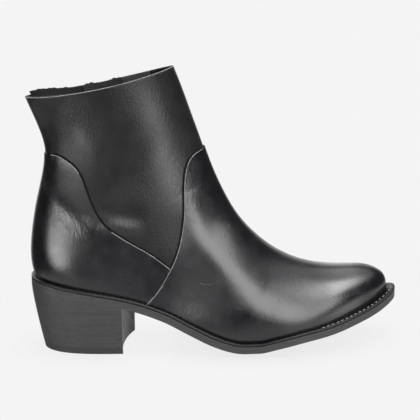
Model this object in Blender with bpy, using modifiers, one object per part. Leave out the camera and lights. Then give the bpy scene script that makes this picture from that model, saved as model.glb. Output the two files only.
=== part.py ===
# Right ankle boot in black leather: lasted upper with vamp and counter overlays, stitched welt,
# thin bent outsole, stacked block heel and a zip on the inner side.
# Sizes are in millimetres, and MM turns them into metres.
# +X points to the toe, +Y to the inner side of the foot and +Z up. The boot stands on Z = 0.
import bmesh
import bpy
import numpy as np
from mathutils import Matrix, Vector

MM = 0.001

# Driving sizes
GAP = 0.3
WALL = 2.0
OVERLAY = 1.0
OUTSOLE = 4.6
WELT = 2.0
INSOLE = 3.8
TOP_LIFT = 5.0
EDGE_LIFT = 3.5
SEAM_GAP = 0.4
FEATHER_GAP = 0.5
OVERLAY_FOOT = 1.0
INSOLE_PLAY = 0.9
INSOLE_REST = 0.5

# Height of the tread under the middle of the sole: heel seat, waist, flat ball and toe spring
TREAD = (
    # x, z
    (-135.0, 46.0),
    (-100.0, 40.0),
    (-66.0, 33.6),
    (-40.0, 24.8),
    (-20.0, 14.6),
    (-6.0, 7.2),
    (4.0, 2.6),
    (12.0, 0.0),
    (25.0, 0.0),
    (40.0, 2.9),
    (60.0, 8.1),
    (80.0, 12.4),
    (95.0, 16.2),
    (111.0, 20.6),
    (135.0, 31.0),
)

# Share of EDGE_LIFT by which the sole's edges turn up
EDGE_SHARE = (
    # x, share
    (-70.0, 0.0),
    (-20.0, 0.4),
    (24.0, 1.0),
    (70.0, 0.7),
    (125.0, 0.0),
)

# How far the welt and sole stand out from the upper's base surface
WELT_REACH = (
    # x, reach
    (-135.0, 3.4),
    (-60.0, 3.6),
    (40.0, 4.2),
    (90.0, 5.2),
    (125.0, 7.4),
)

# The last as sections that fan from the toe over the instep to the collar. Each runs from the ridge on
# the instep to the point below the sole, or on the back seam, where its two sides would close.
TIP_X = 123.2
TIP_Y = 8.0
SECTION_COLUMNS = (
    "ridge_x", "ridge_z", "close_x", "close_z", "mid_y", "lean",
    "lateral", "medial", "wide_at", "nose", "lateral_seat", "medial_seat",
)
SECTIONS = {
    "toe_front": (121.7, 42.6, 121.7, 30.4, 7.9, 0.0, 6.0, 6.0, 0.45, 2.0, 2.2, 2.2),
    "toe_round": (117.2, 47.2, 117.2, 26.0, 7.5, 0.0, 12.0, 12.0, 0.45, 2.0, 2.2, 2.2),
    "toe_cap": (109.5, 50.3, 109.5, 19.4, 6.8, 0.0, 18.0, 18.0, 0.46, 2.0, 2.2, 2.2),
    "toe_box": (98.4, 51.5, 98.4, 12.0, 5.6, 0.4, 24.0, 24.0, 0.48, 1.9, 2.2, 2.2),
    "toe_joint": (84.0, 52.0, 84.0, 3.6, 4.0, 1.0, 30.4, 30.6, 0.5, 1.8, 2.2, 2.2),
    "ball_front": (66.0, 54.6, 65.0, -7.0, 2.4, 2.0, 36.6, 36.4, 0.53, 1.6, 2.2, 2.2),
    "ball": (47.0, 62.2, 43.0, -14.0, 0.6, 3.0, 40.2, 39.6, 0.56, 1.4, 2.2, 2.2),
    "instep_low": (30.0, 74.4, 14.0, -15.0, -1.8, 3.5, 39.4, 36.6, 0.57, 1.35, 2.2, 1.6),
    "instep": (16.5, 88.6, -20.0, -8.0, -2.8, 3.0, 35.4, 32.4, 0.56, 1.35, 2.2, 1.0),
    "instep_high": (8.2, 101.0, -58.0, 8.0, -1.2, 2.0, 30.6, 30.2, 0.54, 1.4, 2.4, 1.0),
    "long_heel": (2.4, 112.2, -98.0, 24.0, -0.2, 1.0, 29.6, 29.8, 0.55, 1.5, 3.0, 2.4),
    "heel_round": (-2.6, 123.4, -124.4, 48.0, 0.0, 0.5, 30.2, 30.2, 0.57, 1.6, 3.2, 3.1),
    "heel_back": (-7.4, 136.0, -128.0, 77.0, 0.0, 0.0, 28.4, 28.6, 0.55, 1.6, 2.9, 2.9),
    "ankle": (-12.4, 150.2, -122.8, 107.0, 0.0, 0.0, 26.8, 27.0, 0.52, 1.5, 2.4, 2.4),
    "shaft_low": (-17.6, 164.6, -117.4, 135.0, 0.0, 0.0, 26.2, 26.4, 0.5, 1.5, 2.0, 2.0),
    "shaft_high": (-23.2, 180.4, -122.4, 157.0, 0.0, 0.0, 26.2, 26.4, 0.5, 1.5, 2.0, 2.0),
    "collar": (-29.2, 195.6, -129.8, 175.4, 0.0, 0.0, 26.6, 26.6, 0.5, 1.5, 2.2, 2.2),
}
COLLAR_DIP = 3.0
GRID_TOE_TO_HEEL = 25
GRID_HEEL_TO_COLLAR = 12
GRID_ROUND = 26
SOLE_ROWS = 40
OUTSOLE_COLUMNS = 8
INSOLE_COLUMNS = 6

# Seams as seen from the side, from the top down
VAMP_SEAM = (
    # x, z
    (-1.0, 146.0),
    (-8.7, 140.4),
    (-15.8, 136.8),
    (-20.6, 131.0),
    (-23.2, 119.0),
    (-23.6, 101.0),
    (-25.0, 85.5),
    (-29.2, 69.0),
    (-36.0, 55.2),
    (-42.6, 44.2),
    (-49.5, 36.4),
    (-58.0, 29.0),
)
COUNTER_SEAM = (
    # x, z
    (-128.0, 136.2),
    (-118.2, 136.8),
    (-109.7, 136.8),
    (-103.4, 134.4),
    (-97.6, 130.2),
    (-93.0, 124.0),
    (-89.0, 113.4),
    (-84.6, 102.2),
    (-79.0, 93.6),
    (-71.0, 86.4),
    (-58.0, 77.9),
    (-46.0, 70.4),
    (-34.3, 61.4),
)

# Heel: corners of its breast in plan, how hollow the breast is, and how much it draws in towards the floor
BREAST_LATERAL_X = -66.8
BREAST_MEDIAL_X = -58.0
BREAST_HOLLOW = 3.4
HEEL_BACK_DRAW = 8.2
HEEL_SIDE_DRAW = 4.6
HEEL_DRAW_POWER = 1.25
HEEL_BACK_X = -130.0
HEEL_HALF = 30.0
HEEL_GRID = (14, 8)
HEEL_SHARES = (0.0, 0.35, 0.7, 1.0)
LIFT_GRID = (12, 6)

# Cutters reach this far past the boot
FAR = 170.0
FOOT_POINTS = 18

# Zip on the inner side, seen from the side
ZIP_TOP = (-79.0, 184.0)
ZIP_FOOT = (-38.0, 70.0)
ZIP_SLIT = 9.0
ZIP_TAPE = 1.1
ZIP_TAPE_DEPTH = 0.5
ZIP_TEETH_WIDTH = 5.0
ZIP_TEETH_RISE = 1.0
ZIP_START = 2.2
ZIP_TEETH_INSET = (1.0, 3.0)
ZIP_GRID = (14, 2)
SLIT_FROM_Y = 8.0
SLIDER_FROM_TOP = 14.0
SLIDER_SIZE = (8.4, 11.0, 2.0)
SLIDER_BELOW_BRIDGE = 1.0
BRIDGE_RISE = 2.9
BRIDGE_RADIUS = 0.8
BRIDGE_SPAN = 6.4
POST_SIZE = (1.2, 2.4)
POST_OVER = 0.6
JOIN_DEPTH = 0.4
EYE_INNER = 1.2
EYE_OUTER = 2.2
EYE_WIDTH = 3.4
NECK_END = 8.1
TAB_START = 6.0
TAB_SIZE = (6.0, 21.0, 1.2)
TAB_TILT = -0.5
ROD_SEGMENTS = 12
EYE_SEGMENTS = 20

BLACK_LEATHER = ((0.012, 0.012, 0.013), 0.38, 0.0)
MATT_LEATHER = ((0.014, 0.014, 0.015), 0.48, 0.0)
STACKED_HEEL = ((0.035, 0.035, 0.036), 0.5, 0.0)
BLACK_RUBBER = ((0.02, 0.02, 0.021), 0.65, 0.0)
INNER_LEATHER = ((0.03, 0.028, 0.027), 0.6, 0.0)
TAPE_CLOTH = ((0.015, 0.015, 0.016), 0.85, 0.0)
ZIP_METAL = ((0.3, 0.29, 0.28), 0.35, 1.0)


# Curves

def monotone_curve(table):
    # A smooth curve through (x, y) rows that never overshoots them.
    xs, ys = np.array(table, float).T
    steps = np.diff(xs)
    slopes = np.diff(ys) / steps
    before, after = slopes[:-1], slopes[1:]
    same_way = before * after > 0
    inner = np.zeros(len(before))
    inner[same_way] = 2 * (before * after)[same_way] / (before + after)[same_way]
    tangents = np.concatenate([slopes[:1], inner, slopes[-1:]])

    def curve(x):
        x = np.clip(x, xs[0], xs[-1])
        i = np.clip(np.searchsorted(xs, x) - 1, 0, len(steps) - 1)
        t = (x - xs[i]) / steps[i]
        rise = ys[i] * (2 * t**3 - 3 * t**2 + 1) + ys[i + 1] * (3 * t**2 - 2 * t**3)
        lean = tangents[i] * (t**3 - 2 * t**2 + t) + tangents[i + 1] * (t**3 - t**2)
        return rise + lean * steps[i]

    return curve


def natural_spline(rows):
    # A curve with even curvature through rows that lie one unit apart.
    count = len(rows)
    system = np.eye(count)
    right = np.zeros_like(rows)
    for i in range(1, count - 1):
        system[i, i - 1:i + 2] = 1, 4, 1
        right[i] = 6 * (rows[i - 1] - 2 * rows[i] + rows[i + 1])
    bends = np.linalg.solve(system, right)

    def curve(u):
        u = np.asarray(u, float)
        i = np.clip(np.floor(u).astype(int), 0, count - 2)
        t = (u - i)[..., None]
        s = 1 - t
        return s * rows[i] + t * rows[i + 1] + ((s**3 - s) * bends[i] + (t**3 - t) * bends[i + 1]) / 6

    return curve


def seam_curve(table, steps=4):
    # Points along a smooth curve through the rows of a seam.
    rows = np.array(table, float)
    return natural_spline(rows)(np.linspace(0, len(rows) - 1, steps * (len(rows) - 1) + 1))


# The sole's surfaces

tread_curve = monotone_curve(TREAD)
reach_curve = monotone_curve(WELT_REACH)
edge_curve = monotone_curve(EDGE_SHARE)
WELT_BOTTOM = OUTSOLE + SEAM_GAP
WELT_TOP = WELT_BOTTOM + WELT
FEATHER = WELT_TOP + FEATHER_GAP
FLAT_HALF = 24.0
EDGE_HALF = 43.0


def level(x, y, height):
    # Height above the floor of a layer that lies `height` above the bent tread.
    out = np.clip((np.abs(y) - FLAT_HALF) / (EDGE_HALF - FLAT_HALF), 0, 1.2)
    slope = tread_curve(x + 0.5) - tread_curve(x - 0.5)
    return tread_curve(x) + EDGE_LIFT * edge_curve(x) * out**2 + height * np.sqrt(1 + slope**2)


# The last

TIP_Z = float(level(TIP_X, TIP_Y, FEATHER))


def last_rows():
    rows = np.array(list(SECTIONS.values()), float)
    tip = rows[0].copy()
    for name, value in (("ridge_x", TIP_X), ("close_x", TIP_X), ("ridge_z", TIP_Z), ("close_z", TIP_Z),
                        ("mid_y", TIP_Y), ("lateral", 0.0), ("medial", 0.0)):
        tip[SECTION_COLUMNS.index(name)] = value
    # The row beyond the tip mirrors the first one, so that the toe closes round.
    beyond = rows[0].copy()
    for name in ("ridge_z", "close_z", "lateral", "medial"):
        i = SECTION_COLUMNS.index(name)
        beyond[i] = 2 * tip[i] - rows[0][i]
    return np.vstack([beyond, tip, rows])


LAST_ROWS = last_rows()
last_spline = natural_spline(LAST_ROWS)
U_COLLAR = len(LAST_ROWS) - 2.0


def section(u):
    return dict(zip(SECTION_COLUMNS, np.moveaxis(last_spline(np.asarray(u, float) + 1), -1, 0)))


def rounding(t, fullness):
    # Half-width of a section from its closed end at t = 0 to its widest at t = 1. A fullness of 2 is an ellipse.
    return np.sqrt(np.clip(t * (fullness + t * (3 - 2 * fullness + t * (fullness - 2))), 0, None))


def last_point(u, v, side):
    # The base surface: u runs from toe to collar and v from the ridge to where the section closes.
    s = section(u)
    half = np.where(side < 0, s["lateral"], s["medial"])
    seat = np.where(side < 0, s["lateral_seat"], s["medial_seat"])
    wide = s["wide_at"]
    up = np.clip(v / wide, 0, 1)
    down = np.clip((1 - v) / (1 - wide), 0, 1)
    width = half * np.where(v < wide, rounding(up, s["nose"]), rounding(down, seat))
    dip = COLLAR_DIP * 4 * v * (1 - v) * np.clip(u - U_COLLAR + 3, 0, 3)**2 / 9
    x = s["ridge_x"] + v * (s["close_x"] - s["ridge_x"])
    z = s["ridge_z"] + v * (s["close_z"] - s["ridge_z"]) - dip
    y = s["mid_y"] + s["lean"] * (1 - up)**2 + side * width
    return np.stack(np.broadcast_arrays(x, y, z), -1)


def sole_line(u, side, lift=0.0):
    # The v at which a section meets the welt, or 1 where it closes on the back seam instead.
    foot = FEATHER + lift
    low, high = np.zeros_like(u), np.ones_like(u)
    for _ in range(40):
        middle = (low + high) / 2
        x, y, z = np.moveaxis(last_point(u, middle, side), -1, 0)
        above = z > level(x, y, foot)
        low, high = np.where(above, middle, low), np.where(above, high, middle)
    x, y, z = np.moveaxis(last_point(u, np.ones_like(u), side), -1, 0)
    return np.where(z > level(x, y, foot), 1.0, low)


def heel_corner():
    # The u of the section that ends where the back seam meets the welt.
    low, high = 8.0, U_COLLAR
    for _ in range(40):
        middle = (low + high) / 2
        x, y, z = last_point(middle, 1.0, 1)
        low, high = (middle, high) if z < level(x, y, FEATHER) else (low, middle)
    return high


U_HEEL = heel_corner()


def upper_point(u, w, side, lift=0.0):
    # As last_point, with w = 1 on the welt or the back seam, and nothing lower than `lift` above the welt.
    v = np.minimum(w * sole_line(u, side), sole_line(u, side, lift))
    return last_point(u, v, side)


def section_at(x, z):
    # The u and v of the straight section line through (x, z).
    low, high = np.full(x.shape, 0.5), np.full(x.shape, U_COLLAR)
    for _ in range(40):
        middle = (low + high) / 2
        s = section(middle)
        turn = ((s["close_x"] - s["ridge_x"]) * (z - s["ridge_z"])
                - (s["close_z"] - s["ridge_z"]) * (x - s["ridge_x"]))
        ahead = turn > 0
        low, high = np.where(ahead, low, middle), np.where(ahead, middle, high)
    s = section(low)
    run = np.hypot(s["close_x"] - s["ridge_x"], s["close_z"] - s["ridge_z"])
    return low, np.clip(np.hypot(x - s["ridge_x"], z - s["ridge_z"]) / run, 0, 1)


def side_point(x, z, side):
    # The point of the base surface that is seen at (x, z) from the side. A few rounds allow for the collar's dip.
    x, z = np.asarray(x, float), np.asarray(z, float)
    straight = z
    for _ in range(6):
        found = last_point(*section_at(x, straight), side)
        straight = straight + z - found[..., 2]
    return found


# Outlines in plan

def feather_outline(t):
    # Lateral and medial points where the upper meets the welt, t = 0 at the toe and 1 at the heel back.
    u = U_HEEL * (1 - (1 - t)**2)
    return [upper_point(u, np.ones_like(u), np.full_like(u, side))[..., :2] for side in (-1, 1)]


def offset_outline(t, distance):
    # The feather outline moved out in plan by distance(x). Both sides meet at the toe tip and at the back.
    step = 1e-3
    inside = np.clip(t, step, 1 - step)
    moved = []
    for side, here, ahead, behind in zip((-1, 1), feather_outline(t), feather_outline(inside + step),
                                         feather_outline(inside - step)):
        along = ahead - behind
        out = np.stack([-along[:, 1], along[:, 0]], -1) * -side
        out /= np.linalg.norm(out, axis=1, keepdims=True)
        out[t <= 0] = (1, 0)
        out[t >= 1] = (-1, 0)
        moved.append(here + out * distance(here[:, 0])[:, None])
    return moved


def insole_reach(x):
    return np.full_like(x, -WALL - INSOLE_PLAY)


def welt_inner_reach(x):
    return np.full_like(x, -WALL - GAP)


# Mesh helpers

def finish_object(name, bm, look, smooth=True):
    mesh = bpy.data.meshes.new(name)
    bm.to_mesh(mesh)
    bm.free()
    if smooth:
        mesh.shade_smooth()
    obj = bpy.data.objects.new(name, mesh)
    boot.objects.link(obj)
    obj.parent = root
    colour, roughness, metallic = look
    material = bpy.data.materials.new(name)
    material.use_nodes = True
    shader = material.node_tree.nodes["Principled BSDF"]
    shader.inputs["Base Color"].default_value = (*colour, 1)
    shader.inputs["Roughness"].default_value = roughness
    shader.inputs["Metallic"].default_value = metallic
    mesh.materials.append(material)
    return obj


def place(verts, points):
    for vert, point in zip(verts, points):
        vert.co = Vector(point) * MM


def grid(columns, rows):
    # A unit grid with its own two coordinates, each from 0 to 1.
    bm = bmesh.new()
    bmesh.ops.create_grid(bm, x_segments=columns, y_segments=rows, size=0.5)
    flat = np.array([vert.co[:2] for vert in bm.verts]) + 0.5
    return bm, flat[:, 0], flat[:, 1]


def weld(bm):
    bmesh.ops.remove_doubles(bm, verts=bm.verts, dist=0.02 * MM)
    bmesh.ops.dissolve_degenerate(bm, edges=bm.edges, dist=0.01 * MM)
    bmesh.ops.recalc_face_normals(bm, faces=bm.faces)


def layered_solid(columns, rows, layers):
    # A closed solid from a grid that each layer function places, from the bottom up.
    bm, a, b = grid(columns, rows)
    spot = bm.verts.layers.int.new("spot")
    for i, vert in enumerate(bm.verts):
        vert[spot] = i
    place(bm.verts, layers[0](a, b))
    faces = list(bm.faces)
    for i, layer in enumerate(layers[1:]):
        made = bmesh.ops.extrude_face_region(bm, geom=faces)["geom"]
        if i:
            bmesh.ops.delete(bm, geom=faces, context="FACES")
        faces = [item for item in made if isinstance(item, bmesh.types.BMFace)]
        top = [item for item in made if isinstance(item, bmesh.types.BMVert)]
        points = layer(a, b)
        place(top, [points[vert[spot]] for vert in top])
    weld(bm)
    return bm


# Sole, welt, insole and heel

def plan_strip(reach):
    # Plan points of a plate inside an outline: a runs from toe to heel and b from the outer to the inner side.
    def plan(a, b):
        outer, inner = offset_outline(a, reach)
        share = (1 - np.cos(np.pi * b)) / 2
        return outer + (inner - outer) * share[:, None]
    return plan


def plate_layer(plan, height):
    def layer(a, b):
        x, y = plan(a, b).T
        return np.stack([x, y, level(x, y, height)], -1)
    return layer


def make_outsole():
    plan = plan_strip(reach_curve)
    layers = [plate_layer(plan, 0.0), plate_layer(plan, OUTSOLE)]
    return finish_object("outsole", layered_solid(SOLE_ROWS, OUTSOLE_COLUMNS, layers), BLACK_RUBBER)


def make_insole():
    plan = plan_strip(insole_reach)
    bottom = OUTSOLE + INSOLE_REST
    layers = [plate_layer(plan, bottom), plate_layer(plan, bottom + INSOLE)]
    return finish_object("insole", layered_solid(SOLE_ROWS, INSOLE_COLUMNS, layers), INNER_LEATHER)


def make_welt():
    # A flat ring: a runs round the boot, b round the ring's own section.
    bm, a, b = grid(2 * SOLE_ROWS, 4)
    half = np.where(a <= 0.5, 2 * a, 2 - 2 * a)
    outer = offset_outline(half, reach_curve)
    inner = offset_outline(half, welt_inner_reach)
    lateral = (a <= 0.5)[:, None]
    outer = np.where(lateral, outer[0], outer[1])
    inner = np.where(lateral, inner[0], inner[1])
    corner = np.round(b * 4).astype(int) % 4
    x, y = np.where(((corner == 0) | (corner == 3))[:, None], outer, inner).T
    height = np.where(corner < 2, WELT_BOTTOM, WELT_TOP)
    place(bm.verts, np.stack([x, y, level(x, y, height)], -1))
    weld(bm)
    return finish_object("welt", bm, BLACK_LEATHER)


def heel_plan(a, b):
    # a runs from the breast to the back of the heel and b from its outer to its inner side.
    t = np.linspace(0, 1, 400)
    outer_line, inner_line = offset_outline(t, reach_curve)
    start_outer = np.interp(-BREAST_LATERAL_X, -outer_line[:, 0], t)
    start_inner = np.interp(-BREAST_MEDIAL_X, -inner_line[:, 0], t)
    outer = offset_outline(start_outer + a * (1 - start_outer), reach_curve)[0]
    inner = offset_outline(start_inner + a * (1 - start_inner), reach_curve)[1]
    points = outer + (inner - outer) * b[:, None]
    points[:, 0] -= BREAST_HOLLOW * 4 * b * (1 - b) * (1 - a)**2
    return points


def heel_layer(share):
    # The heel at a share of the way from the floor up to the sole.
    def layer(a, b):
        x, y = heel_plan(a, b).T
        top = level(x, y, 0.0) - GAP
        bottom = TOP_LIFT + GAP
        z = bottom + share * (top - bottom)
        return np.stack([*heel_draw(x, y, z, top), z], -1)
    return layer


def heel_draw(x, y, z, top):
    down = np.clip(1 - z / top, 0, 1)**HEEL_DRAW_POWER
    breast = (BREAST_LATERAL_X + BREAST_MEDIAL_X) / 2
    back = (breast - x) / (breast - HEEL_BACK_X)
    return x + HEEL_BACK_DRAW * down * np.clip(back, 0, 1), y * (1 - down * HEEL_SIDE_DRAW / HEEL_HALF)


def lift_layer(height):
    def layer(a, b):
        x, y = heel_plan(a, b).T
        z = np.full_like(x, height)
        return np.stack([*heel_draw(x, y, z, level(x, y, 0.0) - GAP), z], -1)
    return layer


def make_heel():
    layers = [heel_layer(share) for share in HEEL_SHARES]
    heel = finish_object("heel", layered_solid(*HEEL_GRID, layers), STACKED_HEEL)
    layers = [lift_layer(0.0), lift_layer(TOP_LIFT)]
    lift = finish_object("top_lift", layered_solid(*LIFT_GRID, layers), BLACK_RUBBER)
    return heel, lift


# Upper and its overlays

def upper_grid(rise, lift):
    # The base surface, moved out by rise, as one open sheet: its edge over the welt below, the collar above.
    rows = GRID_TOE_TO_HEEL + GRID_HEEL_TO_COLLAR
    bm, a, b = grid(rows, GRID_ROUND)
    row = np.round(a * rows)
    to_heel = U_HEEL * (1 - (1 - np.clip(row / GRID_TOE_TO_HEEL, 0, 1))**1.5)
    to_collar = (U_COLLAR - U_HEEL) * np.clip((row - GRID_TOE_TO_HEEL) / GRID_HEEL_TO_COLLAR, 0, 1)
    u = to_heel + to_collar
    across = 2 * b - 1
    side = np.where(across < 0, -1.0, 1.0)
    w = (1 - np.cos(np.pi * np.abs(across))) / 2
    place(bm.verts, upper_point(u, w, side, lift))
    weld(bm)
    if rise:
        bm.normal_update()
        for vert in bm.verts:
            vert.co += vert.normal * rise * MM * vert.calc_shell_factor()
    return bm


def prism(name, outline, y_low, y_high):
    # A cutter that is seen from the side as the outline.
    bm = bmesh.new()
    face = bm.faces.new([bm.verts.new((x * MM, y_low * MM, z * MM)) for x, z in outline])
    made = bmesh.ops.extrude_face_region(bm, geom=[face])["geom"]
    moved = [item for item in made if isinstance(item, bmesh.types.BMVert)]
    bmesh.ops.translate(bm, verts=moved, vec=(0, (y_high - y_low) * MM, 0))
    bmesh.ops.recalc_face_normals(bm, faces=bm.faces)
    mesh = bpy.data.meshes.new(name)
    bm.to_mesh(mesh)
    bm.free()
    obj = bpy.data.objects.new(name, mesh)
    keep_as_cutter(obj)
    return obj


def keep_as_cutter(obj):
    for collection in obj.users_collection:
        collection.objects.unlink(obj)
    cutters.objects.link(obj)
    obj.hide_render = True
    obj.display_type = "WIRE"


def cut(obj, cutter, operation):
    modifier = obj.modifiers.new(cutter.name, "BOOLEAN")
    modifier.operation = operation
    modifier.object = cutter
    modifier.solver = "EXACT"


def thicken(obj, thickness, offset):
    modifier = obj.modifiers.new("wall", "SOLIDIFY")
    modifier.thickness = thickness * MM
    modifier.offset = offset
    modifier.use_even_offset = True


def zip_frame(along):
    # Side-view point on the zip line, `along` millimetres below its top end, and the line's direction.
    top, foot = np.array(ZIP_TOP), np.array(ZIP_FOOT)
    way = (foot - top) / np.linalg.norm(foot - top)
    return top + np.multiply.outer(along, way), way


def zip_length():
    return float(np.linalg.norm(np.subtract(ZIP_FOOT, ZIP_TOP)))


def zip_slit_outline():
    # The slit runs out through the collar.
    (x0, z0), way = zip_frame(np.array(ZIP_TOP[1] - SECTIONS["collar"][1] - ZIP_SLIT))
    (x1, z1), _ = zip_frame(np.array(zip_length()))
    across = np.array([way[1], -way[0]]) * ZIP_SLIT / 2
    return [(x0 - across[0], z0 - across[1]), (x1 - across[0], z1 - across[1]),
            (x1 + across[0], z1 + across[1]), (x0 + across[0], z0 + across[1])]


def make_upper():
    upper = finish_object("upper", upper_grid(0.0, 0.0), MATT_LEATHER)
    thicken(upper, WALL, -1.0)
    cut(upper, prism("zip_slit", zip_slit_outline(), SLIT_FROM_Y, FAR), "DIFFERENCE")
    return upper


def overlay(name, outline, lift):
    piece = finish_object(name, upper_grid(GAP, lift), BLACK_LEATHER)
    thicken(piece, OVERLAY, 1.0)
    cut(piece, prism(name + "_cut", outline, -FAR, FAR), "INTERSECT")
    return piece


def counter_foot(x):
    return level(x, FLAT_HALF, FEATHER) + SEAM_GAP


def make_overlays():
    seam = seam_curve(VAMP_SEAM)
    front = [(seam[-1, 0], -FAR), (FAR, -FAR), (FAR, seam[0, 1])]
    vamp = overlay("vamp", [*seam, *front], OVERLAY_FOOT)
    # The counter ends behind the vamp's seam and just over the welt, which is level across the heel.
    behind = seam - (SEAM_GAP, 0.0)
    top = seam_curve(COUNTER_SEAM)
    x, z = behind.T
    clear = z - counter_foot(x)
    lower = behind[(z < top[-1, 1] - 1.0) & (clear > SEAM_GAP)]
    foot_x = np.linspace(np.interp(0.0, clear[::-1], x[::-1]), TREAD[0][0], FOOT_POINTS)
    foot = np.stack([foot_x, counter_foot(foot_x)], -1)
    counter = overlay("counter", [*top[:-1], *lower, *foot, (TREAD[0][0], top[0, 1])], 0.0)
    return vamp, counter


# Zip

def zip_skin(along, across, rise):
    # A point over the zip line: along it, across it and out sideways from the base surface.
    middle, way = zip_frame(along)
    spot = middle + np.multiply.outer(across, np.array([way[1], -way[0]]))
    points = side_point(spot[..., 0], spot[..., 1], 1.0)
    points[..., 1] += rise
    return points


def strip_layer(start, end, width, rise):
    def layer(a, b):
        return zip_skin(start + a * (end - start), (b - 0.5) * width, rise)
    return layer


def make_zip_strips():
    end = zip_length() - GAP
    outer = -ZIP_TAPE_DEPTH
    layers = [strip_layer(ZIP_START, end, ZIP_SLIT - 2 * GAP, rise) for rise in (outer - ZIP_TAPE, outer)]
    tape = finish_object("zip_tape", layered_solid(*ZIP_GRID, layers), TAPE_CLOTH)
    foot = outer + GAP
    first, last = ZIP_START + ZIP_TEETH_INSET[0], end - ZIP_TEETH_INSET[1]
    layers = [strip_layer(first, last, ZIP_TEETH_WIDTH, rise) for rise in (foot, foot + ZIP_TEETH_RISE)]
    teeth = finish_object("zip_teeth", layered_solid(*ZIP_GRID, layers), ZIP_METAL)
    return tape, teeth


def slider_place():
    # Turns a piece drawn with X across the zip, Y up along it and Z outwards to its place on the boot.
    step = 4.0
    spots = [(SLIDER_FROM_TOP, 0.0), (SLIDER_FROM_TOP - step, 0.0), (SLIDER_FROM_TOP + step, 0.0),
             (SLIDER_FROM_TOP, -step), (SLIDER_FROM_TOP, step)]
    here, above, below, behind, ahead = [
        Vector(zip_skin(np.array(along), np.array(across), 0.0)) for along, across in spots]
    up = (above - below).normalized()
    out = up.cross(ahead - behind).normalized()
    out *= 1 if out.y > 0 else -1
    across = up.cross(out)
    turn = Matrix((across, up, out)).transposed().to_4x4()
    return Matrix.Translation(here * MM) @ turn


def box(bm, size, centre):
    made = bmesh.ops.create_cube(bm, size=MM)["verts"]
    bmesh.ops.scale(bm, verts=made, vec=size)
    bmesh.ops.translate(bm, verts=made, vec=Vector(centre) * MM)
    return made


def rod(bm, radius, length, centre, segments=ROD_SEGMENTS):
    # A round bar across the zip.
    made = bmesh.ops.create_cone(bm, cap_ends=True, segments=segments, radius1=radius * MM, radius2=radius * MM,
                                 depth=length * MM)["verts"]
    bmesh.ops.rotate(bm, verts=made, cent=(0, 0, 0), matrix=Matrix.Rotation(np.pi / 2, 3, "Y"))
    bmesh.ops.translate(bm, verts=made, vec=Vector(centre) * MM)
    return made


def joined(name, builders, look):
    # One solid from shapes that overlap.
    pieces = []
    for i, build in enumerate(builders):
        bm = bmesh.new()
        build(bm)
        pieces.append(finish_object(name if i == 0 else f"{name}_join_{i}", bm, look, smooth=False))
    for other in pieces[1:]:
        cut(pieces[0], other, "UNION")
        keep_as_cutter(other)
    return pieces


def make_slider():
    thick = SLIDER_SIZE[2]
    foot = -ZIP_TAPE_DEPTH + GAP + ZIP_TEETH_RISE + GAP
    hinge = (0.0, 0.0, foot + thick + BRIDGE_RISE)
    post = (*POST_SIZE, JOIN_DEPTH + BRIDGE_RISE + BRIDGE_RADIUS + POST_OVER)
    post_x = (BRIDGE_SPAN - POST_SIZE[0]) / 2
    post_z = foot + thick - JOIN_DEPTH + post[2] / 2
    at = slider_place()
    slider = joined("zip_slider", [
        lambda bm: box(bm, SLIDER_SIZE, (0.0, -SLIDER_BELOW_BRIDGE, foot + thick / 2)),
        lambda bm: box(bm, post, (-post_x, 0.0, post_z)),
        lambda bm: box(bm, post, (post_x, 0.0, post_z)),
        lambda bm: rod(bm, BRIDGE_RADIUS, BRIDGE_SPAN - JOIN_DEPTH, hinge),
    ], ZIP_METAL)
    for piece in slider:
        piece.matrix_world = at
    _, tab_length, tab_thick = TAB_SIZE
    pull = joined("zip_pull", [
        lambda bm: rod(bm, EYE_OUTER, EYE_WIDTH, (0.0, 0.0, 0.0), EYE_SEGMENTS),
        lambda bm: box(bm, (EYE_WIDTH, NECK_END - EYE_INNER, tab_thick), (0.0, -(EYE_INNER + NECK_END) / 2, 0.0)),
        lambda bm: box(bm, TAB_SIZE, (0.0, -TAB_START - tab_length / 2, 0.0)),
    ], ZIP_METAL)
    bore = bmesh.new()
    rod(bore, EYE_INNER, 2 * EYE_WIDTH, (0.0, 0.0, 0.0), EYE_SEGMENTS)
    hole = finish_object("zip_pull_bore", bore, ZIP_METAL, smooth=False)
    keep_as_cutter(hole)
    cut(pull[0], hole, "DIFFERENCE")
    hang = at @ Matrix.Translation(Vector(hinge) * MM) @ Matrix.Rotation(np.radians(TAB_TILT), 4, "X")
    for piece in [*pull, hole]:
        piece.matrix_world = hang
    return slider[0], pull[0]


for old in list(bpy.data.objects):
    bpy.data.objects.remove(old)
boot = bpy.data.collections.new("ankle_boot")
cutters = bpy.data.collections.new("cutters")
for collection in (boot, cutters):
    bpy.context.scene.collection.children.link(collection)
root = bpy.data.objects.new("boot_origin", None)
boot.objects.link(root)

make_outsole()
make_welt()
make_insole()
make_heel()
make_upper()
make_overlays()
make_zip_strips()
make_slider()
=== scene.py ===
# Right ankle boot in black leather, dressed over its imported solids.
# Sizes are in millimetres, and mm turns them into metres. +X is the toe, +Y the inner side, +Z up.
import math

import bmesh
import bpy
import numpy as np
from mathutils import Matrix, Vector


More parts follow.
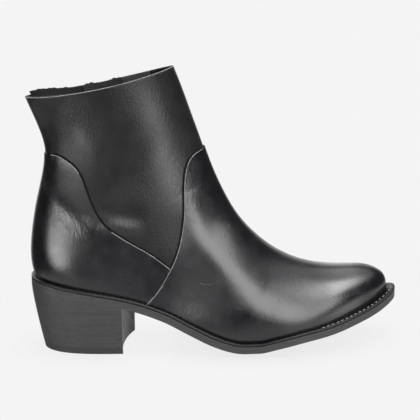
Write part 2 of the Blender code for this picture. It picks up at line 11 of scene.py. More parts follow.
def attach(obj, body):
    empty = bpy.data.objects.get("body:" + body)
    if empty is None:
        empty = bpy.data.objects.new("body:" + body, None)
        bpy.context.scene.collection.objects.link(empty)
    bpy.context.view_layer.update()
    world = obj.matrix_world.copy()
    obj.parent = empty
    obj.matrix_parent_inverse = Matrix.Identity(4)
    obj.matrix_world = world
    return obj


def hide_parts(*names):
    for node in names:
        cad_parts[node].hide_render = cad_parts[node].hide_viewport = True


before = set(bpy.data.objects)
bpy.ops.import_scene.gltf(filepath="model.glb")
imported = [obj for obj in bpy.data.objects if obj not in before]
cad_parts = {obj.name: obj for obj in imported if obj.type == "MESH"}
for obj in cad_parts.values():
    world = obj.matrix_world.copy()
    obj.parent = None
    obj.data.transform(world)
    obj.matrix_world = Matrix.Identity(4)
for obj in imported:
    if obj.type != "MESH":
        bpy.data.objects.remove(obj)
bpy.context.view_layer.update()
mm = 0.001
print("frame loaded:", len(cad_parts), "nodes")

# The last that every leather and sole piece follows
last = {
    "tread": ((-135, 46), (-100, 40), (-66, 33.6), (-40, 24.8), (-20, 14.6), (-6, 7.2), (4, 2.9), (12, 0.6),
              (18, 0), (26, 0), (40, 2.9), (60, 8.1), (80, 12.4), (95, 16.2), (111, 20.6), (135, 31)),
    "edgeShare": ((-70, 0), (-20, 0.4), (24, 1), (70, 0.7), (125, 0)),
    "weltReach": ((-135, 3.4), (-60, 3.6), (40, 4.2), (90, 5.2), (125, 7.4)),
    "edgeLift": 3.5,
    "flatHalf": 24.0,
    "edgeHalf": 43.0,
    "outsole": 4.6,
    "weltBottom": 5.0,
    "weltTop": 7.0,
    "feather": 7.5,
    "tip": (123.2, 8.0),
    "collarDip": 3.0,
    "columns": ("ridgeX", "ridgeZ", "closeX", "closeZ", "midY", "lean",
                "lateral", "medial", "wideAt", "nose", "lateralSeat", "medialSeat"),
    "sections": (
        (121.7, 42.6, 121.7, 30.4, 7.9, 0.0, 6.0, 6.0, 0.45, 2.0, 2.2, 2.2),
        (117.2, 47.2, 117.2, 26.0, 7.5, 0.0, 12.0, 12.0, 0.45, 2.0, 2.2, 2.2),
        (109.5, 50.3, 109.5, 19.4, 6.8, 0.0, 18.0, 18.0, 0.46, 2.0, 2.2, 2.2),
        (98.4, 51.5, 98.4, 12.0, 5.6, 0.4, 24.0, 24.0, 0.48, 1.9, 2.2, 2.2),
        (84.0, 52.0, 84.0, 3.6, 4.0, 1.0, 30.4, 30.6, 0.5, 1.8, 2.2, 2.2),
        (66.0, 54.6, 65.0, -7.0, 2.4, 2.0, 36.6, 36.4, 0.53, 1.6, 2.2, 2.2),
        (47.0, 62.2, 43.0, -14.0, 0.6, 3.0, 40.2, 39.6, 0.56, 1.4, 2.2, 2.2),
        (30.0, 74.4, 14.0, -15.0, -1.8, 3.5, 39.4, 36.6, 0.57, 1.35, 2.2, 1.6),
        (16.5, 88.6, -20.0, -8.0, -2.8, 3.0, 35.4, 32.4, 0.56, 1.35, 2.2, 1.0),
        (8.2, 101.0, -58.0, 8.0, -1.2, 2.0, 30.6, 30.2, 0.54, 1.4, 2.4, 1.0),
        (2.4, 112.2, -98.0, 24.0, -0.2, 1.0, 29.6, 29.8, 0.55, 1.5, 3.0, 2.4),
        (-2.6, 123.4, -124.4, 48.0, 0.0, 0.5, 30.2, 30.2, 0.57, 1.6, 3.2, 3.1),
        (-7.4, 136.0, -128.0, 77.0, 0.0, 0.0, 28.4, 28.6, 0.55, 1.6, 2.9, 2.9),
        (-12.4, 150.2, -122.8, 107.0, 0.0, 0.0, 26.8, 27.0, 0.52, 1.5, 2.4, 2.4),
        (-17.6, 164.6, -117.4, 135.0, 0.0, 0.0, 26.2, 26.4, 0.5, 1.5, 2.0, 2.0),
        (-23.2, 180.4, -122.4, 157.0, 0.0, 0.0, 26.2, 26.4, 0.5, 1.5, 2.0, 2.0),
        (-29.2, 195.6, -129.8, 175.4, 0.0, 0.0, 26.6, 26.6, 0.5, 1.5, 2.2, 2.2),
    ),
}

# Seams in side view, from the top down
seams = {
    "vamp": ((-1, 146), (-8.7, 140.4), (-15.8, 136.8), (-20.6, 131), (-23.2, 119), (-23.6, 101), (-25, 85.5),
             (-29.2, 69), (-36, 55.2), (-42.6, 44.2), (-49.5, 36.4), (-58, 29)),
    "counter": ((-128, 136.2), (-118.2, 136.8), (-109.7, 136.8), (-103.4, 134.4), (-97.6, 130.2), (-93, 124),
                (-89, 113.4), (-84.6, 102.2), (-79, 93.6), (-71, 86.4), (-58, 77.9), (-46, 70.4),
                (-34.3, 61.4), (-29.6, 57.6)),
}

# Creases laid in side view: points, form, height (below 0 is a trough), width,
# and side (-1 outer, 1 inner)
creases = (
    (((-82, 103), (-68, 99), (-50, 95)), "roll", -0.9, 4.0, -1),
    (((-82, 94), (-70, 91.5), (-52, 88)), "roll", 1.1, 3.2, -1),
    (((-98, 150), (-88, 146), (-78, 140)), "roll", 0.6, 4.5, -1),
    (((-150, 139.6), (-80, 83.2)), "lap", 2.2, 33.0, -1),
    (((-20.5, 112), (-17.5, 103), (-15.5, 91.5), (-11.5, 79.5), (-2, 69), (14, 54.6), (30, 44)),
     "roll", 1.2, 6.0, -1),
    (((-80, 106), (-64, 101), (-46, 98)), "roll", -0.8, 4.5, 1),
    (((-80, 97), (-64, 93), (-48, 90)), "roll", 0.6, 3.5, 1),
)
# Where the skin is finely crinkled: points, strength, width, side
crinkles = (
    (((-114, 106), (-103, 97), (-93, 91), (-84, 87)), 2.2, 4.5, -1),
    (((-84, 93), (-70, 90), (-52, 87)), 1.0, 4.0, -1),
    (((-51, 188), (-44, 165), (-39, 145), (-32.5, 124), (-28, 110), (-25, 96)), 1.0, 7.0, -1),
    (((-100, 151), (-88, 148), (-76, 143)), 0.2, 4.0, -1),
    (((-21, 112), (-20, 100), (-18, 88)), 0.4, 3.0, -1),
)
creaseShape = {"rollEnds": 0.7, "lip": 0.22, "lipWidth": 0.16, "lapEnds": 6.0, "faceDepth": 12.0}
bothSides = (-1.0, 1.0)  # outer, inner


def monotoneCurve(table):  # smooth through (x, y) rows without overshoot
    xs, ys = np.array(table, float).T
    steps = np.diff(xs)
    slopes = np.diff(ys) / steps
    before, after = slopes[:-1], slopes[1:]
    sameWay = before * after > 0
    inner = np.zeros(len(before))
    inner[sameWay] = 2 * (before * after)[sameWay] / (before + after)[sameWay]
    tangents = np.concatenate([slopes[:1], inner, slopes[-1:]])

    def curve(x):
        x = np.clip(x, xs[0], xs[-1])
        i = np.clip(np.searchsorted(xs, x) - 1, 0, len(steps) - 1)
        t = (x - xs[i]) / steps[i]
        rise = ys[i] * (2 * t**3 - 3 * t**2 + 1) + ys[i + 1] * (3 * t**2 - 2 * t**3)
        lean = tangents[i] * (t**3 - 2 * t**2 + t) + tangents[i + 1] * (t**3 - t**2)
        return rise + lean * steps[i]

    return curve


def naturalSpline(rows):  # even curvature through rows one unit apart
    count = len(rows)
    system = np.eye(count)
    right = np.zeros_like(rows)
    for i in range(1, count - 1):
        system[i, i - 1:i + 2] = 1, 4, 1
        right[i] = 6 * (rows[i - 1] - 2 * rows[i] + rows[i + 1])
    bends = np.linalg.solve(system, right)

    def curve(u):
        u = np.asarray(u, float)
        i = np.clip(np.floor(u).astype(int), 0, count - 2)
        t = (u - i)[..., None]
        s = 1 - t
        return s * rows[i] + t * rows[i + 1] + ((s**3 - s) * bends[i] + (t**3 - t) * bends[i + 1]) / 6

    return curve


def seamCurve(table, steps=20):
    rows = np.array(table, float)
    return naturalSpline(rows)(np.linspace(0, len(rows) - 1, steps * (len(rows) - 1) + 1))


def unit(rows):
    return rows / np.linalg.norm(rows, axis=1, keepdims=True)


def runLength(points):  # way along a path to each of its points
    return np.concatenate([[0.0], np.cumsum(np.linalg.norm(np.diff(points, axis=0), axis=1))])


treadCurve = monotoneCurve(last["tread"])
reachCurve = monotoneCurve(last["weltReach"])
edgeCurve = monotoneCurve(last["edgeShare"])


def level(x, y, height):  # height of a sole layer over the floor
    out = np.clip((np.abs(y) - last["flatHalf"]) / (last["edgeHalf"] - last["flatHalf"]), 0, 1.2)
    slope = treadCurve(x + 0.5) - treadCurve(x - 0.5)
    return treadCurve(x) + last["edgeLift"] * edgeCurve(x) * out**2 + height * np.sqrt(1 + slope**2)


def lastRows():
    names = last["columns"]
    rows = np.array(last["sections"], float)
    tipX, tipY = last["tip"]
    tipZ = float(level(tipX, tipY, last["feather"]))
    tip = rows[0].copy()
    tipValues = {"ridgeX": tipX, "closeX": tipX, "ridgeZ": tipZ, "closeZ": tipZ, "midY": tipY,
                 "lateral": 0.0, "medial": 0.0}
    for name, value in tipValues.items():
        tip[names.index(name)] = value
    beyond = rows[0].copy()  # mirrors the first section, so that the toe closes round
    for name in ("ridgeZ", "closeZ", "lateral", "medial"):
        i = names.index(name)
        beyond[i] = 2 * tip[i] - rows[0][i]
    return np.vstack([beyond, tip, rows])


sectionRows = lastRows()
sectionSpline = naturalSpline(sectionRows)
uCollar = len(sectionRows) - 2.0
uArch = 8.0  # a section in front of the heel, where searches round the heel start


def section(u):
    return dict(zip(last["columns"], np.moveaxis(sectionSpline(np.asarray(u, float) + 1), -1, 0)))


def rounding(t, fullness):
    return np.sqrt(np.clip(t * (fullness + t * (3 - 2 * fullness + t * (fullness - 2))), 0, None))


def lastPoint(u, v, side):  # u from toe to collar, v from the ridge to where the section closes
    s = section(u)
    half = np.where(side < 0, s["lateral"], s["medial"])
    seat = np.where(side < 0, s["lateralSeat"], s["medialSeat"])
    wide = s["wideAt"]
    up = np.clip(v / wide, 0, 1)
    down = np.clip((1 - v) / (1 - wide), 0, 1)
    width = half * np.where(v < wide, rounding(up, s["nose"]), rounding(down, seat))
    dip = last["collarDip"] * 4 * v * (1 - v) * np.clip(u - uCollar + 3, 0, 3)**2 / 9
    x = s["ridgeX"] + v * (s["closeX"] - s["ridgeX"])
    z = s["ridgeZ"] + v * (s["closeZ"] - s["ridgeZ"]) - dip
    y = s["midY"] + s["lean"] * (1 - up)**2 + side * width
    return np.stack(np.broadcast_arrays(x, y, z), -1)


def halving(low, high, holds, steps):  # closes in on where a test stops holding
    for _ in range(steps):
        middle = (low + high) / 2
        yes = holds(middle)
        low, high = np.where(yes, middle, low), np.where(yes, high, middle)
    return low, high


def soleLine(u, side, lift=0.0):  # v where a section meets the welt, or 1 on the back seam
    def aboveWelt(v):
        x, y, z = np.moveaxis(lastPoint(u, v, side), -1, 0)
        return z > level(x, y, last["feather"] + lift)

    line = halving(np.zeros_like(u), np.ones_like(u), aboveWelt, 32)[0]
    return np.where(aboveWelt(np.ones_like(u)), 1.0, line)


def heelCorner():  # u where the back seam meets the welt
    def belowWelt(u):
        x, y, z = lastPoint(u, 1.0, 1)
        return z < level(x, y, last["feather"])

    return float(halving(uArch, uCollar, belowWelt, 40)[1])


uHeel = heelCorner()
outlineSteps = 900


def sectionAt(x, z):  # u and v of the section line through a side-view point
    def fromRidge(u):
        s = section(u)
        return x - s["ridgeX"], z - s["ridgeZ"], s["closeX"] - s["ridgeX"], s["closeZ"] - s["ridgeZ"]

    def notAhead(u):
        awayX, awayZ, dx, dz = fromRidge(u)
        return dx * awayZ - dz * awayX <= 0

    u = halving(np.full(x.shape, 0.5), np.full(x.shape, uCollar), notAhead, 36)[0]
    awayX, awayZ, dx, dz = fromRidge(u)
    return u, (awayX * dx + awayZ * dz) / (dx**2 + dz**2)


def sidePoint(x, z, side):  # point of the last seen at (x, z) from the side
    x, z = np.asarray(x, float), np.asarray(z, float)
    straight = z
    for _ in range(6):
        u, v = sectionAt(x, straight)
        found = lastPoint(u, np.clip(v, 0, 1), side)
        straight = straight + z - found[..., 2]
    return found


def featherOutline(t):
    u = uHeel * (1 - (1 - t)**2)
    sides = [np.full_like(u, side) for side in bothSides]
    return [lastPoint(u, soleLine(u, side), side)[..., :2] for side in sides]


def offsetOutline(t, distance):  # the feather line moved out in plan
    if len(t) > outlineSteps:
        table = np.linspace(0, 1, outlineSteps)
        lines = offsetOutline(table, distance)
        return [np.stack([np.interp(t, table, column) for column in line.T], -1) for line in lines]
    step = 1e-3
    inside = np.clip(t, step, 1 - step)
    lines = zip(bothSides, featherOutline(t), featherOutline(inside + step), featherOutline(inside - step))
    moved = []
    for side, here, ahead, behind in lines:
        along = ahead - behind
        out = unit(np.stack([-along[:, 1], along[:, 0]], -1) * -side)
        out[t <= 0] = (1, 0)
        out[t >= 1] = (-1, 0)
        moved.append(here + out * distance(here[:, 0])[:, None])
    return moved


def strokeAt(points, line, side):  # distance left of a side-view line, share along it, how far it faces
    x, y, z = np.asarray(points, float).T
    path = seamCurve(line, 8)
    start, run = path[:-1], np.diff(path, axis=0)
    dx, dz = x[:, None] - start[:, 0], z[:, None] - start[:, 1]
    t = np.clip((dx * run[:, 0] + dz * run[:, 1]) / (run**2).sum(1), 0, 1)
    away = np.hypot(dx - t * run[:, 0], dz - t * run[:, 1])
    near = away.argmin(1)
    pick = np.arange(len(x))
    left = run[near, 0] * dz[pick, near] - run[near, 1] * dx[pick, near]
    share = (near + t[pick, near]) / len(run)
    facing = np.clip(y * side / creaseShape["faceDepth"], 0, 1)
    return np.where(left < 0, -1, 1) * away[pick, near], share, facing


def reliefAt(points):  # height of the hand-laid creases at points of the last
    lip, lipWidth, ends = creaseShape["lip"], creaseShape["lipWidth"], creaseShape["lapEnds"]
    total = np.zeros(len(points))
    for line, form, height, width, side in creases:
        away, share, facing = strokeAt(points, line, side)
        x = away / width
        if form == "roll":
            profile = np.clip(4 * share * (1 - share), 0, 1)**creaseShape["rollEnds"] * np.exp(-0.5 * x**2)
        else:
            profile = lip * np.exp(-(x / lipWidth)**2) - np.clip(x, 0, None) * np.exp(0.5 - 0.5 * x**2)
            profile = profile * np.clip(ends * share, 0, 1) * np.clip(ends - ends * share, 0, 1)
        total += height * facing * profile
    return total


def crinkleAt(points):
    total = np.zeros(len(points))
    for line, strength, width, side in crinkles:
        away, share, facing = strokeAt(points, line, side)
        ends = np.clip(4 * share * (1 - share), 0, 1)
        total += strength * facing * ends * np.exp(-0.5 * (away / width)**2)
    return np.clip(total, 0, 1)


# Mesh helpers

def addGrid(bm, columns, rows):
    made = bmesh.ops.create_grid(bm, x_segments=columns, y_segments=rows, size=0.5)["verts"]
    flat = np.array([vert.co[:2] for vert in made]) + 0.5
    return made, flat[:, 0], flat[:, 1]


def place(verts, points):
    for vert, point in zip(verts, np.asarray(points) * mm):
        vert.co = point


def weld(bm, distance=0.02):
    bmesh.ops.remove_doubles(bm, verts=bm.verts, dist=distance * mm)
    bmesh.ops.dissolve_degenerate(bm, edges=bm.edges, dist=0.5 * distance * mm)
    bmesh.ops.recalc_face_normals(bm, faces=bm.faces)


def pushOut(bm, rise, press=None):
    bm.normal_update()
    points = np.array([vert.co[:] for vert in bm.verts]) / mm
    amount = rise + reliefAt(points)
    if press:
        amount += press(points)
    for vert, step in zip(list(bm.verts), amount):
        vert.co += vert.normal * float(step) * mm


def meshFrom(name, bm):
    mesh = bpy.data.meshes.new(name)
    bm.to_mesh(mesh)
    bm.free()
    return mesh


def addObject(name, data):
    made = bpy.data.objects.new(name, data)
    bpy.context.scene.collection.objects.link(made)
    return made


def makePiece(name, bm, materials, body, replaced=(), smooth=True, crinkled=False):
    mesh = meshFrom(name, bm)
    if crinkled:
        points = np.array([vert.co[:] for vert in mesh.vertices]) / mm
        mesh.attributes.new("crinkle", "FLOAT", "POINT").data.foreach_set("value", crinkleAt(points))
    if smooth:
        mesh.shade_smooth()
    piece = addObject(name, mesh)
    for material in materials:
        mesh.materials.append(material)
    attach(piece, body)
    if replaced:
        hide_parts(*replaced)
    return piece


def thicken(piece, thickness, offset, inside=0):  # inside is the material of the inner face and the rim
    wall = piece.modifiers.new("wall", "SOLIDIFY")
    wall.thickness = thickness * mm
    wall.offset = offset
    wall.material_offset = inside
    wall.material_offset_rim = inside


def softenEdges(piece, width, angle=40.0, segments=2):
    edge = piece.modifiers.new("edges", "BEVEL")
    edge.width = width * mm
    edge.segments = segments
    edge.limit_method = "ANGLE"
    edge.angle_limit = math.radians(angle)
    edge.profile = 0.5
    edge.material = -1
    edge.harden_normals = True


def paintUnderside(piece):  # second material on the faces that look down
    for face in piece.data.polygons:
        face.material_index = 1 if face.normal.z < -0.5 else 0


def vertsIn(geometry):
    return [item for item in geometry if isinstance(item, bmesh.types.BMVert)]


def edgesOf(verts):
    return list({edge for vert in verts for edge in vert.link_edges})


def uprights(edges, height):
    return [edge for edge in edges if abs(edge.verts[0].co.z - edge.verts[1].co.z) > 0.5 * height * mm]


def bevelEdges(bm, edges, width, segments=2):
    bmesh.ops.bevel(bm, geom=edges, offset=width * mm, affect="EDGES", segments=segments, profile=0.5,
                    material=-1)


def shifted(centre):
    return Matrix.Translation(Vector(centre) * mm)


def addCube(bm, size, spot):
    return bmesh.ops.create_cube(bm, size=mm, matrix=spot @ Matrix.Diagonal((*size, 1)))["verts"]


def layeredSolid(columns, rows, layers):  # closed solid from one grid placed by each layer in turn
    bm = bmesh.new()
    _, a, b = addGrid(bm, columns, rows)
    spot = bm.verts.layers.int.new("spot")
    for i, vert in enumerate(bm.verts):
        vert[spot] = i
    place(bm.verts, layers[0](a, b))
    faces = list(bm.faces)
    for i, layer in enumerate(layers[1:]):
        grown = bmesh.ops.extrude_face_region(bm, geom=faces)["geom"]
        if i:
            bmesh.ops.delete(bm, geom=faces, context="FACES")
        faces = [item for item in grown if isinstance(item, bmesh.types.BMFace)]
        top = vertsIn(grown)
        points = layer(a, b)
        place(top, [points[vert[spot]] for vert in top])
    weld(bm)
    return bm


# Materials

def grey(value):
    return (value,) * 3


def group(name, inputs, outputs):
    tree = bpy.data.node_groups.new(name, "ShaderNodeTree")
    for label, value in inputs:
        socket = tree.interface.new_socket(label, in_out="INPUT", socket_type="NodeSocketFloat")
        socket.default_value = value
    for label in outputs:
        tree.interface.new_socket(label, in_out="OUTPUT", socket_type="NodeSocketFloat")
    return tree, tree.nodes.new("NodeGroupInput"), tree.nodes.new("NodeGroupOutput")


def addNode(tree, kind, **values):  # values are the node's own settings or its inputs, with _ for a space
    node = tree.nodes.new(kind)
    for key, value in values.items():
        if key in node.bl_rna.properties:
            setattr(node, key, value)
        else:
            node.inputs[key.replace("_", " ")].default_value = value
    return node


def calc(tree, operation, *values):  # a sum on numbers and sockets
    node = addNode(tree, "ShaderNodeMath", operation=operation)
    for value, socket in zip(values, node.inputs):
        if isinstance(value, (int, float)):
            socket.default_value = value
        else:
            tree.links.new(value, socket)
    return node.outputs[0]


def objectSpace(tree):
    return addNode(tree, "ShaderNodeTexCoord").outputs["Object"]


def texture(tree, kind, vector, **values):
    node = addNode(tree, kind, **values)
    tree.links.new(vector, node.inputs["Vector"])
    return node


def noise(tree, vector, **values):
    return texture(tree, "ShaderNodeTexNoise", vector, **values).outputs[0]


def spread(tree, value, low, high, fromLow=0.3, fromHigh=0.7):
    node = addNode(tree, "ShaderNodeMapRange", interpolation_type="SMOOTHSTEP",
                   From_Min=fromLow, From_Max=fromHigh, To_Min=low, To_Max=high)
    tree.links.new(value, node.inputs["Value"])
    return node.outputs[0]


def shadeBetween(tree, value, dark, light, target):
    node = addNode(tree, "ShaderNodeMix", data_type="RGBA")
    node.inputs[6].default_value = (*dark, 1)
    node.inputs[7].default_value = (*light, 1)
    tree.links.new(value, node.inputs[0])
    tree.links.new(node.outputs[2], target)


def bumpFrom(tree, shader, height, strength, depth):
    bump = addNode(tree, "ShaderNodeBump", Strength=strength, Distance=depth * mm)
    tree.links.new(height, bump.inputs["Height"])
    tree.links.new(bump.outputs[0], shader.inputs["Normal"])


def newMaterial(name, base, roughness, **values):
    material = bpy.data.materials.new(name)
    material.use_nodes = True
    tree = material.node_tree
    shader = tree.nodes["Principled BSDF"]
    shader.inputs["Base Color"].default_value = (*base, 1)
    shader.inputs["Roughness"].default_value = roughness
    for key, value in values.items():
        shader.inputs[key.replace("_", " ")].default_value = value
    return material, tree, shader


def leatherGrainGroup():  # pebbles, pores, drawn wrinkles and slow unevenness, as a height and two masks
    inputs = (("Pebble Size", 900.0), ("Pebble", 0.5), ("Pore", 0.3),
              ("Wrinkle", 0.3), ("Crinkle", 0.0), ("Wave", 1.0))
    tree, given, out = group("leatherGrain", inputs, ("Height", "Worn", "Rubbed"))
    spot = objectSpace(tree)
    drawn = texture(tree, "ShaderNodeMapping", spot, Scale=(1.0, 1.0, 0.32)).outputs[0]
    cells = texture(tree, "ShaderNodeTexVoronoi", spot, feature="SMOOTH_F1", Smoothness=0.6)
    tree.links.new(given.outputs["Pebble Size"], cells.inputs["Scale"])
    pores = noise(tree, spot, Scale=2600.0, Detail=2.0)
    folds = noise(tree, drawn, Scale=640.0, Detail=3.0, Roughness=0.6)
    waves = noise(tree, spot, Scale=38.0, Detail=2.0, Roughness=0.45)
    patches = noise(tree, spot, Scale=90.0, Detail=4.0)
    crinkle = addNode(tree, "ShaderNodeAttribute", attribute_name="crinkle").outputs["Fac"]
    wrinkle = calc(tree, "MULTIPLY_ADD", crinkle, given.outputs["Crinkle"], given.outputs["Wrinkle"])
    height = calc(tree, "MULTIPLY", cells.outputs["Distance"], given.outputs["Pebble"])
    for value, share in ((pores, given.outputs["Pore"]), (folds, wrinkle), (waves, given.outputs["Wave"])):
        height = calc(tree, "MULTIPLY_ADD", value, share, height)
    for label, value in (("Height", height), ("Worn", patches), ("Rubbed", crinkle)):
        tree.links.new(value, out.inputs[label])
    return tree


grain = leatherGrainGroup()
buffing = {"toeFrom": (0.066, 0.09), "toeEnd": (0.095, 0.106), "rubbedRough": -0.1}  # toe values in metres


def leather(name, dark, light, smooth, rough, shine, bump, depth, polish=0.0, toePolish=0.0, **grainValues):
    material, tree, shader = newMaterial(name, dark, rough, Specular_IOR_Level=shine, Coat_Roughness=smooth)
    skin = addNode(tree, "ShaderNodeGroup", node_tree=grain, **grainValues)
    shadeBetween(tree, skin.outputs["Worn"], dark, light, shader.inputs["Base Color"])
    roughness = spread(tree, skin.outputs["Worn"], smooth, rough)
    if polish:  # where creases rub
        rubbed = skin.outputs["Rubbed"]
        tree.links.new(calc(tree, "MULTIPLY", rubbed, polish), shader.inputs["Coat Weight"])
        roughness = calc(tree, "MULTIPLY_ADD", rubbed, buffing["rubbedRough"], roughness)
    if toePolish:
        along = texture(tree, "ShaderNodeSeparateXYZ", objectSpace(tree)).outputs["X"]
        gloss = spread(tree, along, 0.0, toePolish, *buffing["toeFrom"])
        gloss = calc(tree, "MULTIPLY", spread(tree, along, 1.0, 0.0, *buffing["toeEnd"]), gloss)
        tree.links.new(gloss, shader.inputs["Coat Weight"])
    tree.links.new(roughness, shader.inputs["Roughness"])
    bumpFrom(tree, shader, skin.outputs["Height"], bump, depth)
    return material


smoothLeather = leather("smoothLeather", (0.003, 0.003, 0.004), (0.006, 0.006, 0.007),
                        smooth=0.19, rough=0.29, shine=0.5, bump=0.5, depth=0.3, toePolish=0.8,
                        Pebble_Size=1100.0, Pebble=0.24, Pore=0.2, Wrinkle=0.36, Crinkle=2.2, Wave=1.3)
shaftLeather = leather("shaftLeather", (0.006, 0.006, 0.0065), (0.01, 0.01, 0.0105),
                       smooth=0.32, rough=0.4, shine=0.2, bump=0.6, depth=0.35, polish=0.6,
                       Pebble_Size=900.0, Pebble=0.45, Pore=0.2, Wrinkle=0.4, Crinkle=2.2, Wave=1.8)
liningLeather = leather("liningLeather", grey(0.005), grey(0.01),
                        smooth=0.6, rough=0.75, shine=0.12, bump=0.4, depth=0.3,
                        Pebble_Size=1500.0, Pebble=0.4, Pore=0.4, Wrinkle=0.2, Wave=0.4)
guardLeather = leather("guardLeather", grey(0.016), (0.034, 0.033, 0.032),
                       smooth=0.5, rough=0.65, shine=0.3, bump=0.5, depth=0.3,
                       Pebble_Size=1200.0, Pebble=0.5, Pore=0.4, Wrinkle=0.5, Wave=0.8)
# Light colour for the thin beads on the overlays' and collar's edges: a painted highlight where the edges
# catch the light
paintedEdgeHighlight = leather("paintedEdgeHighlight", grey(0.05), grey(0.34),
                  smooth=0.45, rough=0.6, shine=0.4, bump=0.4, depth=0.2,
                  Pebble_Size=2000.0, Pebble=0.3, Pore=0.5, Wrinkle=0.2, Wave=0.2)
weltLeather = leather("weltLeather", grey(0.005), grey(0.01),
                      smooth=0.4, rough=0.55, shine=0.3, bump=0.5, depth=0.3,
                      Pebble_Size=1200.0, Pebble=0.3, Pore=0.4, Wrinkle=0.3, Wave=0.4)


def stackedMaterial():
    material, tree, shader = newMaterial("stackedHeel", grey(0.05), 0.6, Specular_IOR_Level=0.3)
    spot = objectSpace(tree)
    flat = texture(tree, "ShaderNodeMapping", spot, Scale=(0.06, 0.06, 1.0)).outputs[0]
    layers = noise(tree, flat, Scale=700.0, Detail=3.0, Roughness=0.65)
    specks = noise(tree, spot, Scale=160.0, Detail=4.0)
    shadeBetween(tree, layers, grey(0.014), grey(0.042), shader.inputs["Base Color"])
    tree.links.new(spread(tree, specks, 0.5, 0.68), shader.inputs["Roughness"])
    bumpFrom(tree, shader, layers, 0.35, 0.15)
    return material


def rubberMaterial(name, ribbed):
    material, tree, shader = newMaterial(name, grey(0.02), 0.6, Specular_IOR_Level=0.3)
    spot = objectSpace(tree)
    fine = noise(tree, spot, Scale=1500.0, Detail=3.0)
    ribs = texture(tree, "ShaderNodeTexWave", spot, wave_type="BANDS", bands_direction="X",
                   Scale=90.0, Distortion=0.6, Detail=1.0).outputs[1]
    shadeBetween(tree, fine, grey(0.012), grey(0.026), shader.inputs["Base Color"])
    bumpFrom(tree, shader, calc(tree, "MULTIPLY_ADD", ribs, ribbed, fine), 0.4, 0.3)
    return material


def clothMaterial():
    material, tree, shader = newMaterial("zipCloth", (0.012, 0.012, 0.013), 0.85, Specular_IOR_Level=0.15)
    alongZip = (0.0, math.radians(-20.0), 0.0)
    turned = texture(tree, "ShaderNodeMapping", objectSpace(tree), Rotation=alongZip).outputs[0]
    threads = [texture(tree, "ShaderNodeTexWave", turned, bands_direction=way, Scale=scale).outputs[1]
               for way, scale in (("X", 420.0), ("Z", 560.0))]
    weave = calc(tree, "MAXIMUM", *threads)
    shadeBetween(tree, weave, (0.008, 0.008, 0.009), (0.024, 0.024, 0.026), shader.inputs["Base Color"])
    bumpFrom(tree, shader, weave, 0.6, 0.15)
    return material


def metalMaterial():
    material, tree, shader = newMaterial("zipMetal", (0.34, 0.33, 0.32), 0.3, Metallic=1.0)
    rubbed = noise(tree, objectSpace(tree), Scale=900.0, Detail=4.0)
    shadeBetween(tree, rubbed, (0.26, 0.25, 0.245), (0.42, 0.41, 0.4), shader.inputs["Base Color"])
    tree.links.new(spread(tree, rubbed, 0.22, 0.4), shader.inputs["Roughness"])
    bumpFrom(tree, shader, rubbed, 0.15, 0.05)
    return material


def threadMaterial(name, dark, light, shine):
    material, tree, shader = newMaterial(name, dark, 0.55, Specular_IOR_Level=shine)
    twist = noise(tree, objectSpace(tree), Scale=3200.0, Detail=2.0)
    shadeBetween(tree, twist, dark, light, shader.inputs["Base Color"])
    bumpFrom(tree, shader, twist, 0.5, 0.1)
    return material


stackedHeel = stackedMaterial()
soleRubber = rubberMaterial("soleRubber", 2.0)
liftRubber = rubberMaterial("liftRubber", 0.0)
zipCloth = clothMaterial()
zipMetal = metalMaterial()
# Dark thread colour, also on the dark strips beside the seams, where it paints the shade of the stitch
# groove
blackThreadAndSeamShade = threadMaterial("blackThreadAndSeamShade", grey(0.003), grey(0.009), 0.05)
# Light grey thread colour: real wear on the scuff marks, and a painted highlight on the welt stitches at the
# toe
scuffGreyAndStitchHighlight = threadMaterial("scuffGreyAndStitchHighlight", grey(0.1), grey(0.26), 0.4)
print("materials made")


# Upper

upperSize = {"toeRows": 92, "shaftRows": 64, "round": 128, "toePack": 1.5, "wall": 2.0, "foot": -0.6}


def upperSheet(size):
    bm = bmesh.new()
    rows = size["toeRows"] + size["shaftRows"]
    made, a, b = addGrid(bm, rows, size["round"])
    row = np.round(a * rows)
    toHeel = uHeel * (1 - (1 - np.clip(row / size["toeRows"], 0, 1))**size["toePack"])
    toCollar = (uCollar - uHeel) * np.clip((row - size["toeRows"]) / size["shaftRows"], 0, 1)
    u = toHeel + toCollar
    across = 2 * b - 1
    side = np.where(across < 0, -1.0, 1.0)
    w = (1 - np.cos(np.pi * np.abs(across))) / 2
    place(made, lastPoint(u, w * soleLine(u, side, size["foot"]), side))
    weld(bm)
    pushOut(bm, 0.0)
    return bm


zipLine = {"top": (-79.0, 184.0), "foot": (-38.0, 70.0), "slit": 9.0, "cutAbove": 20.0, "cutFromY": 8.0,
           "cutDeep": 60.0, "start": -4.6, "endGap": 0.2, "tape": 1.1, "tapeDepth": 0.5, "tapePlay": 0.3,
           "tapeCells": (90, 8), "teethFrom": 3.2, "teethEnd": 3.0, "toothPitch": 1.3,
           "toothSize": (2.9, 0.85, 1.1), "toothShift": 0.75, "toothRise": 0.45, "toothBevel": 0.18}
zipRun = np.subtract(zipLine["foot"], zipLine["top"])
zipLength = float(np.linalg.norm(zipRun))
zipWay = zipRun / zipLength
zipAcross = np.array([zipWay[1], -zipWay[0]])


def zipSpot(along, across):  # side-view point below the zip's top end and across its line
    return np.array(zipLine["top"]) + np.multiply.outer(along, zipWay) + np.multiply.outer(across, zipAcross)


def zipSkin(along, across, rise):
    spot = zipSpot(along, across)
    points = sidePoint(spot[..., 0], spot[..., 1], 1.0)
    points[..., 1] += rise
    return points


